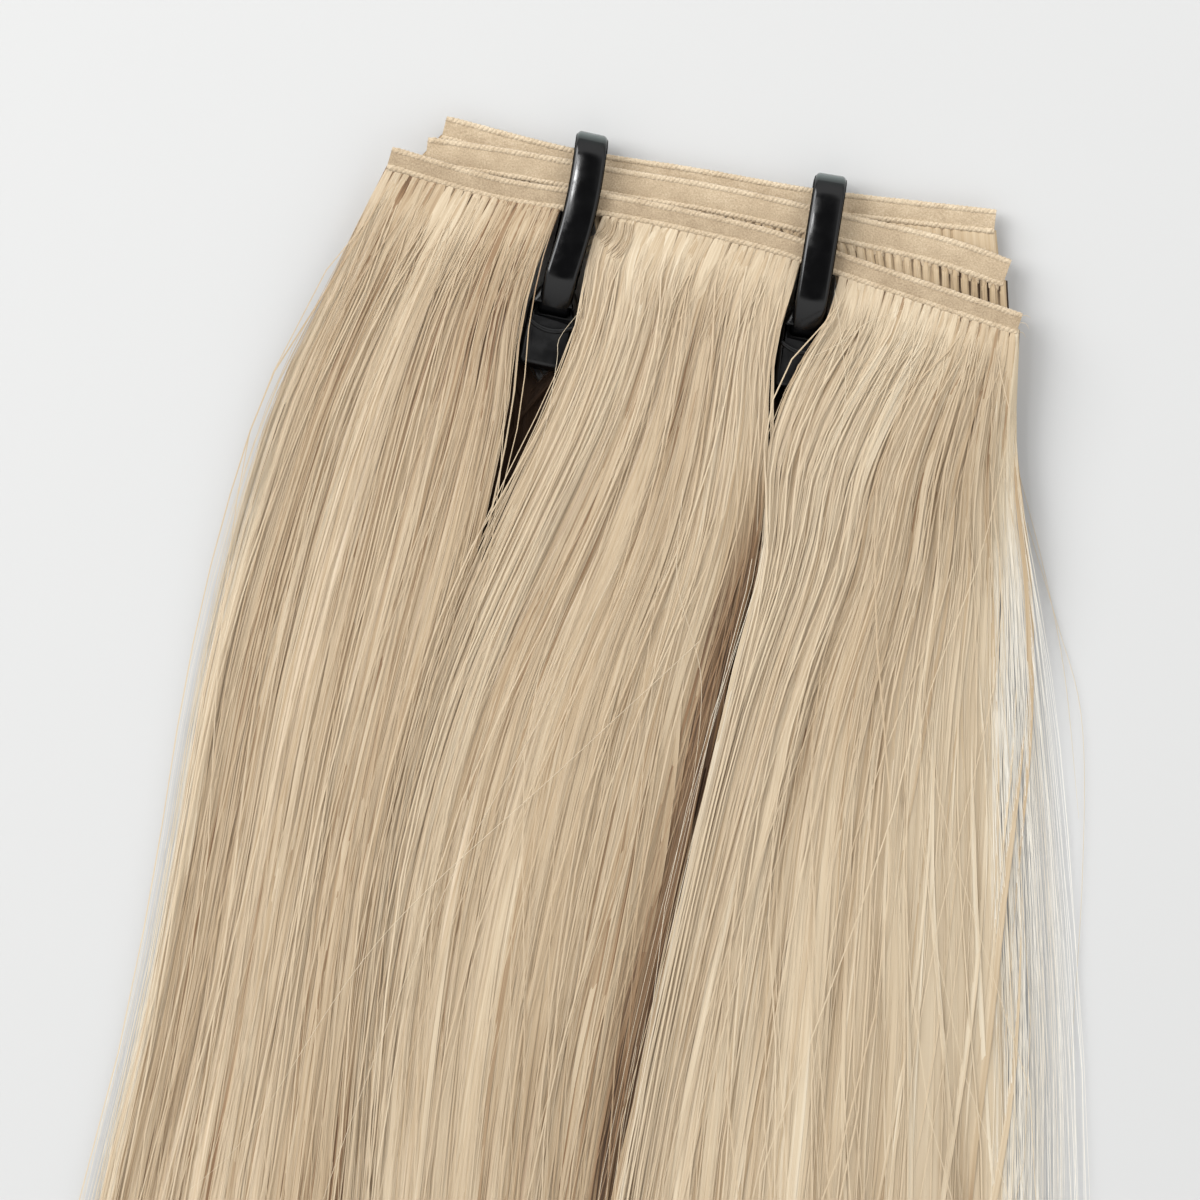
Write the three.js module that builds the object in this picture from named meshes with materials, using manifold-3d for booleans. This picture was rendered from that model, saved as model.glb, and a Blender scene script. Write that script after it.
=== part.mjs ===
// A stack of three straight hair wefts held together by two nylon cable ties, lying on a table.
// Millimetres. +X runs along the sewn tracks to the right, the hair falls towards -Y, +Z is up.
// The tables are laid out round the middle of the view from above. The whole stack is then
// moved so that the middle of its footprint on the table is the origin.
import * as THREE from 'three';
import { mergeVertices } from 'three/addons/utils/BufferGeometryUtils.js';
import Module from 'manifold-3d';

const wasm = await Module();
wasm.setup();

// A table's rows as objects, keyed by the words in its header
function table(header, ...rows) {
  const columns = header.split(' ');
  return rows.map((row) => Object.fromEntries(columns.map((column, i) => [column, row[i]])));
}

// Driving dimensions
const SEAT_GAP = 0.3; // clearance between pieces that lie on each other
const HAIR_GAP = 0.4; // clearance between two layers of hair, which are coarser
const TRACK_HEIGHT = 2.4; // the sewn band, from its upper to its lower edge
const CORD_DIAMETER = 0.9; // the stitched cords along both edges of a track
const WEB_THICKNESS = 0.7; // the flat of the track between its cords
const ROOT_THICKNESS = 0.7; // the hair where it leaves a track
const LEAST_THICKNESS = 0.5; // the hair at the sides and tips of a layer
const STRAP_WIDTH = 3.6;
const STRAP_THICKNESS = 1.1;
const STRAP_BEVEL = 0.15;
const HEAD_WIDTH = 5.9;
const HEAD_LENGTH = 7.4;
const HEAD_HEIGHT = 4.4;
const HEAD_CHAMFER = 0.8;
const HEAD_BEVEL = 0.4;
const MOUTH_WIDTH = 4.4; // the opening in a tie's head that takes the strap
const MOUTH_LENGTH = 3.2;
const MOUTH_DEPTH = 1.5;
const MOUTH_RIM = 0.9; // from the head's upper end to its mouth
const STRAP_PLACE = 2.2; // from the head's upper end to the middle of the strap in the mouth
const STRAP_DIVE = 3.4; // the strap bends down into the mouth over this length
const STRAP_SEAT = 1; // the strap's lower run ends this far inside the head
const TAIL_LEVEL = 1.6; // the strap's tail ends inside the head at this height

// Heights of the stack: the strap on the table, then one track after the other, then the strap again
const LAYER_PITCH = CORD_DIAMETER + SEAT_GAP;
const LOWEST_TRACK = STRAP_THICKNESS + SEAT_GAP + CORD_DIAMETER / 2;
const trackLevel = (layer) => LOWEST_TRACK + layer * LAYER_PITCH;

// A row for each weft, lowest first: where its track begins, passes and ends, how far its hair keeps inside
// the outline of the top one at both sides, how far its locks reach into the partings below the ties,
// and how many facets each lock has across
const WEFTS = table('name leftX leftY midX midY rightX rightY inset close facets',
  ['back', -17.4, 51.9, 6.3, 47.2, 43.6, 42.1, 5, 3, 9],
  ['middle', -19.1, 49.4, 6.3, 44.8, 44.9, 36, 2.5, 1, 9],
  ['front', -23.4, 47.7, 6.3, 42.1, 46.3, 30, 0, 0, 12],
);

// The left and right edge of the left, centre and right lock on the top track
const ROOTS = { leftA: -23.2, leftB: -4, centreA: -0.4, centreB: 22.2, rightA: 26.2, rightB: 46 };

// A row for each section down the hair: its distance below the top track, the same edges there, and the
// height of each layer of hair above the table
const SECTIONS = table('down leftA leftB centreA centreB rightA rightB back middle front',
  [12, -29.3, -9, -2.2, 19, 22.6, 45.1, 2.2, 3.7, 5.9],
  [22, -34.8, -9.8, -5.8, 18.2, 18.9, 45, 2.6, 4.8, 7.4],
  [34, -39.3, -10.4, -11.4, 18.2, 17.2, 46.2, 2.8, 5.3, 8.2],
  [50, -43.7, -15.4, -18, 16, 13.4, 47.9, 3, 5.7, 8.8],
  [70, -47.3, -21, -23.6, 11.1, 8.5, 49.6, 3.1, 5.9, 9.1],
  [90, -51.1, -24, -26.6, 6.5, 3.9, 50.1, 3.1, 6, 9.2],
  [108, -55.7, -25.5, -28.1, 3.5, 0.9, 50.1, 3.1, 6, 9.2],
  [150, -61, -29.7, -32.3, -0.2, -2.8, 49, 3, 5.8, 8.8],
  [210, -65.5, -33.7, -36.3, -3.7, -6.3, 46, 2.7, 5.2, 7.8],
  [280, -67, -36.2, -38.8, -6.7, -9.3, 41, 2.2, 4.2, 6.3],
  [340, -64, -36.7, -39.3, -9.2, -11.8, 35, 1.6, 3, 4.5],
  [390, -57, -35.7, -38.3, -11.7, -14.3, 26, 0.9, 1.9, 2.9],
);

// A row for each lock of a weft: its edges in the table above, and how far its tips stop short or reach past
const LOCKS = table('from to reach',
  ['leftA', 'leftB', -5],
  ['centreA', 'centreB', 4],
  ['rightA', 'rightB', -2],
);
const RIBS_PER_LOCK = 3; // thicker wisps along each lock of the top weft
const RIB_RISE = 0.35;
const RIBS_FULL = 34; // below this distance the crowns and ribs of the locks are full
const LOCK_CROWN = 1.5; // how far the middle of a lock of the top weft stands above its edges
const TIP_ROUNDING = 9; // the tips at a lock's sides are this much shorter
const THICKEST = Math.max(...SECTIONS.map((section) => section.front));
const SLANT_ENDS = 60; // below this distance the sections no longer slant with the track
const DRAPE_ENDS = 45; // below this distance the sides of the hair lie on the table
const SIDE_POWER = 3; // how squarely the hair rounds off towards its sides

// A row for each cable tie: the top of its loop, the distance from there to its head, and its lean
const TIES = table('name topX topY reach lean',
  ['tie_left', -0.7, 51.8, 23.2, -13],
  ['tie_right', 25.6, 47.8, 19.4, -9],
);

const HAIR = new THREE.MeshStandardMaterial({ name: 'blonde_hair', color: 0xc6b193, roughness: 0.42, metalness: 0 });
const THREAD = new THREE.MeshStandardMaterial({ name: 'sewn_track', color: 0xd2bea0, roughness: 0.8, metalness: 0 });
const NYLON = new THREE.MeshStandardMaterial({ name: 'black_nylon', color: 0x141515, roughness: 0.3, metalness: 0 });

// A geometry as a solid that can be joined and cut
function toSolid(geometry) {
  const bare = geometry.clone();
  bare.deleteAttribute('normal');
  bare.deleteAttribute('uv');
  const merged = mergeVertices(bare, 1e-4);
  const vertProperties = new Float32Array(merged.attributes.position.array);
  const triVerts = new Uint32Array(merged.index.array);
  return new wasm.Manifold(new wasm.Mesh({ numProp: 3, vertProperties, triVerts }));
}

function toGeometry(solid) {
  const { vertProperties, triVerts } = solid.getMesh();
  const geometry = new THREE.BufferGeometry();
  geometry.setAttribute('position', new THREE.BufferAttribute(vertProperties, 3));
  geometry.setIndex(new THREE.BufferAttribute(triVerts, 1));
  geometry.computeVertexNormals();
  return geometry;
}

const joined = (solids) => solids.reduce((whole, solid) => whole.add(solid));
const cutBy = (solid, tools) => tools.reduce((rest, tool) => rest.subtract(tool), solid);

// A closed skin with flat ends over rings of points. The rings run clockwise, seen along the loft.
// flatten gives the two coordinates in which an end ring is drawn.
function loft(rings, flatten) {
  const count = rings[0].length;
  const index = [];
  for (let ring = 0; ring + 1 < rings.length; ring++) {
    for (let i = 0; i < count; i++) {
      const here = ring * count + i;
      const next = ring * count + ((i + 1) % count);
      index.push(here, here + count, next + count, here, next + count, next);
    }
  }
  const lastStart = (rings.length - 1) * count;
  for (const [a, b, c] of THREE.ShapeUtils.triangulateShape(rings[0].map(flatten), [])) index.push(a, c, b);
  for (const [a, b, c] of THREE.ShapeUtils.triangulateShape(rings.at(-1).map(flatten), [])) {
    index.push(lastStart + a, lastStart + b, lastStart + c);
  }
  const geometry = new THREE.BufferGeometry().setFromPoints(rings.flat());
  geometry.setIndex(index);
  return geometry;
}

// Where a weft's track lies at x, on the parabola through its three points
function trackY(weft, x) {
  const { leftX, leftY, midX, midY, rightX, rightY } = weft;
  const leftShare = ((x - midX) * (x - rightX)) / ((leftX - midX) * (leftX - rightX));
  const midShare = ((x - leftX) * (x - rightX)) / ((midX - leftX) * (midX - rightX));
  const rightShare = ((x - leftX) * (x - midX)) / ((rightX - leftX) * (rightX - midX));
  return leftY * leftShare + midY * midShare + rightY * rightShare;
}

// A track's section: a round cord along each edge, with a thinner flat web between them
function trackSection() {
  const cordRadius = CORD_DIAMETER / 2;
  const cordCentre = TRACK_HEIGHT / 2 - cordRadius;
  const webAngle = Math.asin(WEB_THICKNESS / 2 / cordRadius);
  const outline = new THREE.Path();
  outline.absarc(cordCentre, 0, cordRadius, -Math.PI + webAngle, Math.PI - webAngle, false);
  outline.absarc(-cordCentre, 0, cordRadius, webAngle, 2 * Math.PI - webAngle, false);
  return outline.getPoints(4).reverse();
}

const TRACK_STATIONS = 14;

function buildTrack(weft, layer) {
  const section = trackSection();
  const rings = [];
  for (let station = 0; station <= TRACK_STATIONS; station++) {
    const x = THREE.MathUtils.lerp(weft.leftX, weft.rightX, station / TRACK_STATIONS);
    const step = 0.01;
    const slope = Math.atan2(trackY(weft, x + step) - trackY(weft, x - step), 2 * step);
    rings.push(section.map((point) => new THREE.Vector3(
      x - point.x * Math.sin(slope),
      trackY(weft, x) + point.x * Math.cos(slope),
      trackLevel(layer) + point.y,
    )));
  }
  return loft(rings, (point) => new THREE.Vector2(point.y, point.z));
}

const frontWeft = WEFTS.at(-1);
const slantAt = (down) => Math.max(0, 1 - down / SLANT_ENDS);
const drapeAt = (down) => THREE.MathUtils.smoothstep(down, 0, DRAPE_ENDS);

// How high a layer's hair stands at a section, at side = -1 for the left outline and 1 for the right.
// Each layer stands clear of the one below it, also where both are thin.
function layerTop(section, side, layer) {
  if (layer < 0) return -HAIR_GAP;
  const { name, inset } = WEFTS[layer];
  const halfWidth = (section.rightB - section.leftA) / 2;
  const share = Math.abs(side) / (1 - inset / halfWidth);
  const rounded = section[name] * (1 - drapeAt(section.down) * share ** SIDE_POWER);
  return Math.max(rounded, layerTop(section, side, layer - 1) + HAIR_GAP + LEAST_THICKNESS);
}

// The crown and ribs that a lock of the top weft has across it
function lockRise(across, section) {
  const crown = 1 - Math.abs(2 * across - 1) ** 2;
  const ribs = 0.5 - 0.5 * Math.cos(2 * Math.PI * RIBS_PER_LOCK * across);
  const full = THREE.MathUtils.smoothstep(section.down, 0, RIBS_FULL) * (section.front / THICKEST);
  return full * (LOCK_CROWN * (crown - 1) + RIB_RISE * (ribs - 1));
}

// One ring of a lock: along its top from left to right, and back along its underside
function lockRing(weft, layer, lock, section) {
  const from = section[lock.from] + (lock.from === 'leftA' ? weft.inset : -weft.close);
  const to = section[lock.to] + (lock.to === 'rightB' ? -weft.inset : weft.close);
  const middle = (section.leftA + section.rightB) / 2;
  const halfWidth = (section.rightB - section.leftA) / 2;
  const isTip = section === SECTIONS.at(-1);
  const top = [];
  const under = [];
  for (let i = 0; i <= weft.facets; i++) {
    const across = i / weft.facets;
    const x = THREE.MathUtils.lerp(from, to, across);
    const rootX = THREE.MathUtils.lerp(ROOTS[lock.from], ROOTS[lock.to], across);
    const slant = slantAt(section.down) * (trackY(frontWeft, rootX) - frontWeft.midY);
    const tip = isTip ? TIP_ROUNDING * (2 * across - 1) ** 2 - lock.reach : 0;
    const y = frontWeft.midY - section.down + slant + tip;
    const side = (x - middle) / halfWidth;
    const bottomZ = layerTop(section, side, layer - 1) + HAIR_GAP;
    const rise = weft === frontWeft ? lockRise(across, section) : 0;
    const topZ = Math.max(layerTop(section, side, layer) + rise, bottomZ + LEAST_THICKNESS);
    top.push(new THREE.Vector3(x, y, topZ));
    under.unshift(new THREE.Vector3(x, y, bottomZ));
  }
  return [...top, ...under];
}

// The first ring of a lock, on the lower edge of its own track
function rootRing(weft, layer, lock) {
  const from = lock.from === 'leftA' ? weft.leftX + SEAT_GAP : ROOTS[lock.from];
  const to = lock.to === 'rightB' ? weft.rightX - SEAT_GAP : ROOTS[lock.to];
  const top = [];
  const under = [];
  for (let i = 0; i <= weft.facets; i++) {
    const x = THREE.MathUtils.lerp(from, to, i / weft.facets);
    const y = trackY(weft, x) - TRACK_HEIGHT / 2 - SEAT_GAP;
    top.push(new THREE.Vector3(x, y, trackLevel(layer) + ROOT_THICKNESS / 2));
    under.unshift(new THREE.Vector3(x, y, trackLevel(layer) - ROOT_THICKNESS / 2));
  }
  return [...top, ...under];
}

// All the hair of one weft: its locks joined, with room cut for the ties
function buildHair(weft, layer, tieRooms) {
  const locks = LOCKS.map((lock) => {
    const rings = SECTIONS.map((section) => lockRing(weft, layer, lock, section));
    return toSolid(loft([rootRing(weft, layer, lock), ...rings], (point) => new THREE.Vector2(point.x, point.z)));
  });
  return toGeometry(cutBy(joined(locks), tieRooms));
}

// The middle line of a tie's strap, seen from its side: the distance from the top of the loop, and the height
function strapLine(tie) {
  const half = STRAP_THICKNESS / 2;
  const upper = trackLevel(WEFTS.length - 1) + CORD_DIAMETER / 2 + SEAT_GAP + half;
  const bend = (upper - half) / 2;
  const headStart = tie.reach - HEAD_LENGTH / 2;
  const mouth = headStart + STRAP_PLACE;
  const line = new THREE.Path();
  line.moveTo(mouth, TAIL_LEVEL);
  line.lineTo(mouth, HEAD_HEIGHT - MOUTH_DEPTH / 2);
  line.quadraticCurveTo(mouth - half, upper, mouth - STRAP_DIVE, upper);
  line.lineTo(bend + half, upper);
  line.absarc(bend + half, (upper + half) / 2, bend, Math.PI / 2, 1.5 * Math.PI, false);
  line.lineTo(headStart + STRAP_SEAT, half);
  return line.getPoints(5);
}

// The outline of a band of the given thickness along a line of points
function bandOutline(line, thickness) {
  const sides = line.map((point, i) => {
    const before = line[Math.max(0, i - 1)];
    const after = line[Math.min(line.length - 1, i + 1)];
    const along = after.clone().sub(before).normalize();
    return new THREE.Vector2(-along.y, along.x).multiplyScalar(thickness / 2);
  });
  const oneSide = line.map((point, i) => point.clone().add(sides[i]));
  const otherSide = line.map((point, i) => point.clone().sub(sides[i]));
  return [...oneSide, ...otherSide.reverse()];
}

// A tie's side view drawn out across its width. The drawing's x runs down the strap and its y is up.
function acrossTie(outline, width, bevel) {
  const geometry = new THREE.ExtrudeGeometry(new THREE.Shape(outline), {
    depth: width - 2 * bevel,
    bevelEnabled: bevel > 0,
    bevelThickness: bevel,
    bevelSize: bevel,
    bevelOffset: -bevel,
    bevelSegments: 1,
  });
  geometry.translate(0, 0, bevel - width / 2);
  const down = new THREE.Vector3(0, -1, 0);
  const up = new THREE.Vector3(0, 0, 1);
  return geometry.applyMatrix4(new THREE.Matrix4().makeBasis(down, up, new THREE.Vector3(-1, 0, 0)));
}

// The head's side view: a box on the table with its corners taken off, larger by room all round
function headOutline(tie, room) {
  const start = tie.reach - HEAD_LENGTH / 2 - room;
  const end = tie.reach + HEAD_LENGTH / 2 + room;
  const top = HEAD_HEIGHT + room;
  return [
    [start, 0], [end - HEAD_CHAMFER, 0], [end, HEAD_CHAMFER], [end, top - HEAD_CHAMFER],
    [end - HEAD_CHAMFER, top], [start + HEAD_CHAMFER, top], [start, top - HEAD_CHAMFER],
  ].map(([x, y]) => new THREE.Vector2(x, y));
}

function mouthOutline(tie) {
  const start = tie.reach - HEAD_LENGTH / 2 + MOUTH_RIM;
  const floor = HEAD_HEIGHT - MOUTH_DEPTH;
  const open = HEAD_HEIGHT + MOUTH_DEPTH;
  const slopedEnd = start + MOUTH_LENGTH + MOUTH_DEPTH / 2;
  return [[start, floor], [start + MOUTH_LENGTH, floor], [slopedEnd, open], [start, open]]
    .map(([x, y]) => new THREE.Vector2(x, y));
}

function buildTie(tie) {
  const strap = toSolid(acrossTie(bandOutline(strapLine(tie), STRAP_THICKNESS), STRAP_WIDTH, STRAP_BEVEL));
  const head = toSolid(acrossTie(headOutline(tie, 0), HEAD_WIDTH, HEAD_BEVEL));
  const mouth = toSolid(acrossTie(mouthOutline(tie), MOUTH_WIDTH, 0));
  return toGeometry(head.subtract(mouth).add(strap));
}

// The room that a tie needs in the hair, in the frame of the whole stack
function tieRoom(tie, frame) {
  const grown = STRAP_THICKNESS + 2 * SEAT_GAP;
  const strap = toSolid(acrossTie(bandOutline(strapLine(tie), grown), STRAP_WIDTH + 2 * SEAT_GAP, 0).applyMatrix4(frame));
  const head = toSolid(acrossTie(headOutline(tie, SEAT_GAP), HEAD_WIDTH + 2 * SEAT_GAP, 0).applyMatrix4(frame));
  return strap.add(head);
}

function namedMesh(name, geometry, material) {
  const mesh = new THREE.Mesh(geometry, material.clone());
  mesh.name = name;
  return mesh;
}

const stack = new THREE.Group();
const tieRooms = TIES.map((tie) => {
  const holder = new THREE.Group();
  holder.position.set(tie.topX, tie.topY, 0);
  holder.rotation.z = THREE.MathUtils.degToRad(tie.lean);
  holder.add(namedMesh(tie.name, buildTie(tie), NYLON));
  holder.updateMatrix();
  stack.add(holder);
  return tieRoom(tie, holder.matrix);
});

WEFTS.forEach((weft, layer) => {
  stack.add(namedMesh(`track_${weft.name}`, buildTrack(weft, layer), THREAD));
  stack.add(namedMesh(`hair_${weft.name}`, buildHair(weft, layer, tieRooms), HAIR));
});

// The middle of the footprint becomes the origin
const footprint = new THREE.Box3().setFromObject(stack, true);
const centre = footprint.getCenter(new THREE.Vector3());
stack.position.set(-centre.x, -centre.y, -footprint.min.z);

const hairWeft = new THREE.Group();
hairWeft.add(stack);

export default hairWeft;
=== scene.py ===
import math

import bmesh
import bpy
import numpy as np
from mathutils import Matrix, Vector
from mathutils.bvhtree import BVHTree


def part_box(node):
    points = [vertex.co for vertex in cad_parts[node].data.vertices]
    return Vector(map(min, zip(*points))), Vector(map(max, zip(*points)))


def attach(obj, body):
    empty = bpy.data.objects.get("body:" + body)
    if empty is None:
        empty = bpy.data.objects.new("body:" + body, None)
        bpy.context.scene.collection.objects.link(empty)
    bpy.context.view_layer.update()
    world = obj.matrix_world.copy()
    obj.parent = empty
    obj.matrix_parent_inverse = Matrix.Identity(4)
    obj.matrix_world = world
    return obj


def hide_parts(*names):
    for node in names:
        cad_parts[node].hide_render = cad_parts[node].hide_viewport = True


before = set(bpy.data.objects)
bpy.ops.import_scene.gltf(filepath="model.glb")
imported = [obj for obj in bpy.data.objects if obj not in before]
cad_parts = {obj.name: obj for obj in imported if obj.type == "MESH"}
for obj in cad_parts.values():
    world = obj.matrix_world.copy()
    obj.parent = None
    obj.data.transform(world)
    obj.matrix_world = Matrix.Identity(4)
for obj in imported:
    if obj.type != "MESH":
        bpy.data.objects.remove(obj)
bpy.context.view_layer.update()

BODY = "root"
MM = 0.001

# Layout, in mm round the middle of the view from above
VIEW_CENTRE = (8.45, 149.41)  # that middle in the part's own frame
WEFTS = ("back", "middle", "front")  # lowest first
TRACK_POINTS = {  # the middle of each track, from its left end to its right
    "back": (
        (-17.4, 51.8), (-2.8, 48.1), (10.4, 46.0), (22.9, 43.8), (32.8, 42.6), (43.6, 41.4)),
    "middle": (
        (-19.3, 49.1), (-10.4, 47.8), (1.3, 45.7), (11.7, 44.0), (27.3, 40.5), (38.9, 37.7), (44.8, 35.6)),
    "front": (
        (-23.3, 48.4), (-10.9, 44.9), (2.2, 42.9), (10.9, 41.1), (20.1, 38.8), (27.0, 36.4), (46.1, 30.0)),
}
# How far a weft keeps inside the top one at its left and right side
SIDE_INSET = {"back": (5.0, 9.0), "middle": (2.5, 7.0), "front": (0.0, 0.0)}
INSET_FULL = 30.0  # distance down the hair where that is reached
# How far a weft's locks reach into the partings, and the distances down the hair where they close in
PARTING_REACH = {"back": 4.2, "middle": 1.0, "front": 0.0}
PARTING_LEVELS = {"back": (12.0, 19.5), "middle": (24.0, 38.0), "front": (0.0, 1.0)}
# Above that, how far their roots reach behind the ties' straps, and how far they keep back from the ties
ROOT_REACH = {"back": 1.6, "middle": 1.6, "front": 0.0}
PARTING_BACK = {"back": 1.2, "middle": 1.2, "front": 0.0}
# How a lock's hair is swept to the left: by what share of its width, and with what power
SWEEP = {"left": (0.45, 1.6), "centre": (0.75, 2.0), "right": (0.85, 3.2)}
SWEEP_FULL = 60.0  # distance down the hair where that is complete
SWEEP_EASE = 1.4
OUTER_SPREAD = 0.55  # how much of the sweep the loose hair past the right edge takes part in
# How far the right lock's right edge is shifted, by the distance down the hair
RIGHT_SHIFT = (
    (0, 0.0), (15, 0.3), (28, 0.4), (40, -0.6), (55, -1.3), (70, -1.5), (90, -0.8), (108, -0.4), (390, 0.0))
# How far a lock's right edge ducks under the next lock, and where across the lock and down the hair
DIP = {"left": 0.25, "centre": 1.3, "right": 0.0}
DIP_ACROSS = (0.8, 1.0)
DIP_LEVELS = (26.0, 45.0)
LOCKS = ("left", "centre", "right")
LOCK_ROOTS = {"left": (-23.2, -4.0), "centre": (0.5, 22.2), "right": (26.2, 46.0)}
LOCK_EDGES = {  # distance down the hair: both edges of the left, centre and right lock
    6: ((-26.2, -6.4), (-1.4, 20.6), (25.0, 45.5)),
    12: ((-29.3, -8.4), (-2.2, 19.2), (21.9, 45.1)),
    22: ((-34.8, -9.6), (-5.8, 19.0), (18.4, 45.0)),
    34: ((-39.3, -12.0), (-11.4, 18.6), (17.8, 46.2)),
    50: ((-43.7, -16.0), (-18.0, 15.6), (14.5, 47.9)),
    70: ((-47.3, -20.8), (-23.6, 11.9), (9.9, 49.6)),
    90: ((-51.1, -23.8), (-26.6, 7.0), (5.4, 50.1)),
    108: ((-55.7, -25.5), (-28.1, 3.5), (1.9, 50.1)),
    150: ((-61.0, -29.7), (-32.3, -0.2), (-2.8, 49.0)),
    210: ((-65.5, -33.7), (-36.3, -3.7), (-6.3, 46.0)),
    280: ((-67.0, -36.2), (-38.8, -6.7), (-9.3, 41.0)),
    340: ((-64.0, -36.7), (-39.3, -9.2), (-11.8, 35.0)),
    390: ((-57.0, -35.7), (-38.3, -11.7), (-14.3, 26.0)),
}
HAIR_LENGTH = 390.0
LEVEL_Y = 42.1  # the middle of the top track, from which distances down the hair count
SLANT_ENDS = 60.0  # below this distance the rows no longer slant with the track
TRACK_HEIGHT = 2.4
ROOT_TUCK = 0.7  # how far the hair's roots reach under a track's lower edge
END_CLEARANCE = 0.2  # and how far they keep inside its ends

# Strands
ROOT_SHARE = 0.42  # rows crowd towards the roots: the share and powers of their distances down the hair
ROOT_POWER = 1.6
TIP_POWER = 6.0
SURFACE_ROWS = 81
SURFACE_COLUMNS = {"back": 61, "middle": 91, "front": 131}
SIDE_MARGIN = 0.05  # a lock's surface reaches past its edges by this share of its width
NO_THIN_EDGE = 0.0001
# Squeeze draws the tufts together, Rise and Sink are heights about the surface, Wander and Stray shares of
# the lock's width. Rag is how unevenly hair ends. The edges are kept free, or thin, over shares of the width.
# Lighter and Spread change the tone, Tilt turns a strand, and Partial makes wisps.
STRAND_SIZES = {
    "Strands": 100, "Points": 23, "Width": 0.10 * MM, "Tufts": 16, "Squeeze": 0.8,
    "Rise": 0.02 * MM, "Sink": 0.03 * MM, "Wander": 0.03, "Stray": 0.25, "Rag": 0.04,
    "LeftEdge": 0.0, "RightEdge": 0.0, "LeftThin": NO_THIN_EDGE, "RightThin": NO_THIN_EDGE,
    "Lighter": 0.05, "Spread": 0.13, "Tilt": 0.1, "Partial": 0.0, "Seed": 1,
}
WISP_SIZES = dict(
    STRAND_SIZES, Points=21, Width=0.6 * MM, Squeeze=1.0, Rise=0.03 * MM, Sink=0.055 * MM,
    Wander=0.14, Stray=0.0, Rag=0.0, Lighter=0.0, Spread=0.32, Tilt=0.11, Partial=1.0)
STRAND_SIDES, STRAND_FLATNESS = 3, 0.07
WISP_SIDES, WISP_FLATNESS = 6, 0.055
SEED_STEP = 31  # room for the draws that belong to one seed
ROW_SHIFT = 0.05  # how far a strand's rows are shifted along it
SHIFT_STARTS, SHIFT_ENDS = (0.05, 0.2), (0.8, 0.95)  # shares of its length where that comes and goes
TUFT_OPENS = (1.0, 4.0)  # distances down the hair between which the tufts open,
EDGE_OPENS = (8.0, 60.0)  # a thin edge spreads out,
SETTLE_LEVELS = (2.0, 14.0)  # and strands begin to wander
DRIFT_LENGTH = 85.0  # of one swing of a strand, in mm
DRIFT_STRIDE, DRIFT_SEED_STRIDE = 0.737, 7.3  # from one strand and one seed to the next in that noise
STRAY_POWER = 6.0  # few strands stray, because of this power
STRAY_DRIFT = 2.0  # and how much further those swing
STRAY_RISE = 0.004
STRAND_STRIDE = 0.37  # from one strand to the next in the streaks' texture
LOCK_WIDTH = 25.0 * MM  # for the scale of those streaks
LOOSE_PALER = 0.3  # loose strands at a thin edge are thinner, and painted paler for the light through thin hair
LOOSE_THINNER = 0.55
WISP_STARTS, WISP_LEAD = 0.75, 0.15  # wisps begin over this share of a lock's rows, and some at its roots
WISP_CUT, WISP_VARIETY = 0.8, 0.25  # how much shorter than strands they are, and how much that varies
WISP_OPENS, WISP_START = 0.3, 0.05  # over this share of its length a wisp widens, from this breadth
TAPER_STARTS, WISP_EARLIER = 0.88, 0.43  # where along it a strand tapers, and how much earlier a wisp does
TIP_WIDTH, WISP_THINNER = 0.35, 0.3  # what is left of its breadth at its end, and how much less of a wisp's
LEAST_BREADTH, BREADTH_SPREAD = 0.6, 1.3  # of single strands, in widths
LEAST_LIFT = 0.25  # of a strand's middle above the table, in widths
COLUMN_LIMITS, ROW_LIMITS = (0.002, 0.998), (0.0005, 0.9995)  # just inside the edges of a lock's map
BAKE_HALF = 0.4  # half the breadth of a strand in the map for baking, where one column holds one strand
RING_RADIUS = 0.58


def level_at(share):
    """The distance down the hair, in mm, at a share of a strand's rows."""
    return HAIR_LENGTH * (ROOT_SHARE * share ** ROOT_POWER + (1 - ROOT_SHARE) * share ** TIP_POWER)


def in_part(points):
    """Points in mm round the view's middle as metres in the part's frame."""
    points = np.asarray(points, float)
    return (points + np.array([*VIEW_CENTRE, 0.0])) * MM


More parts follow.
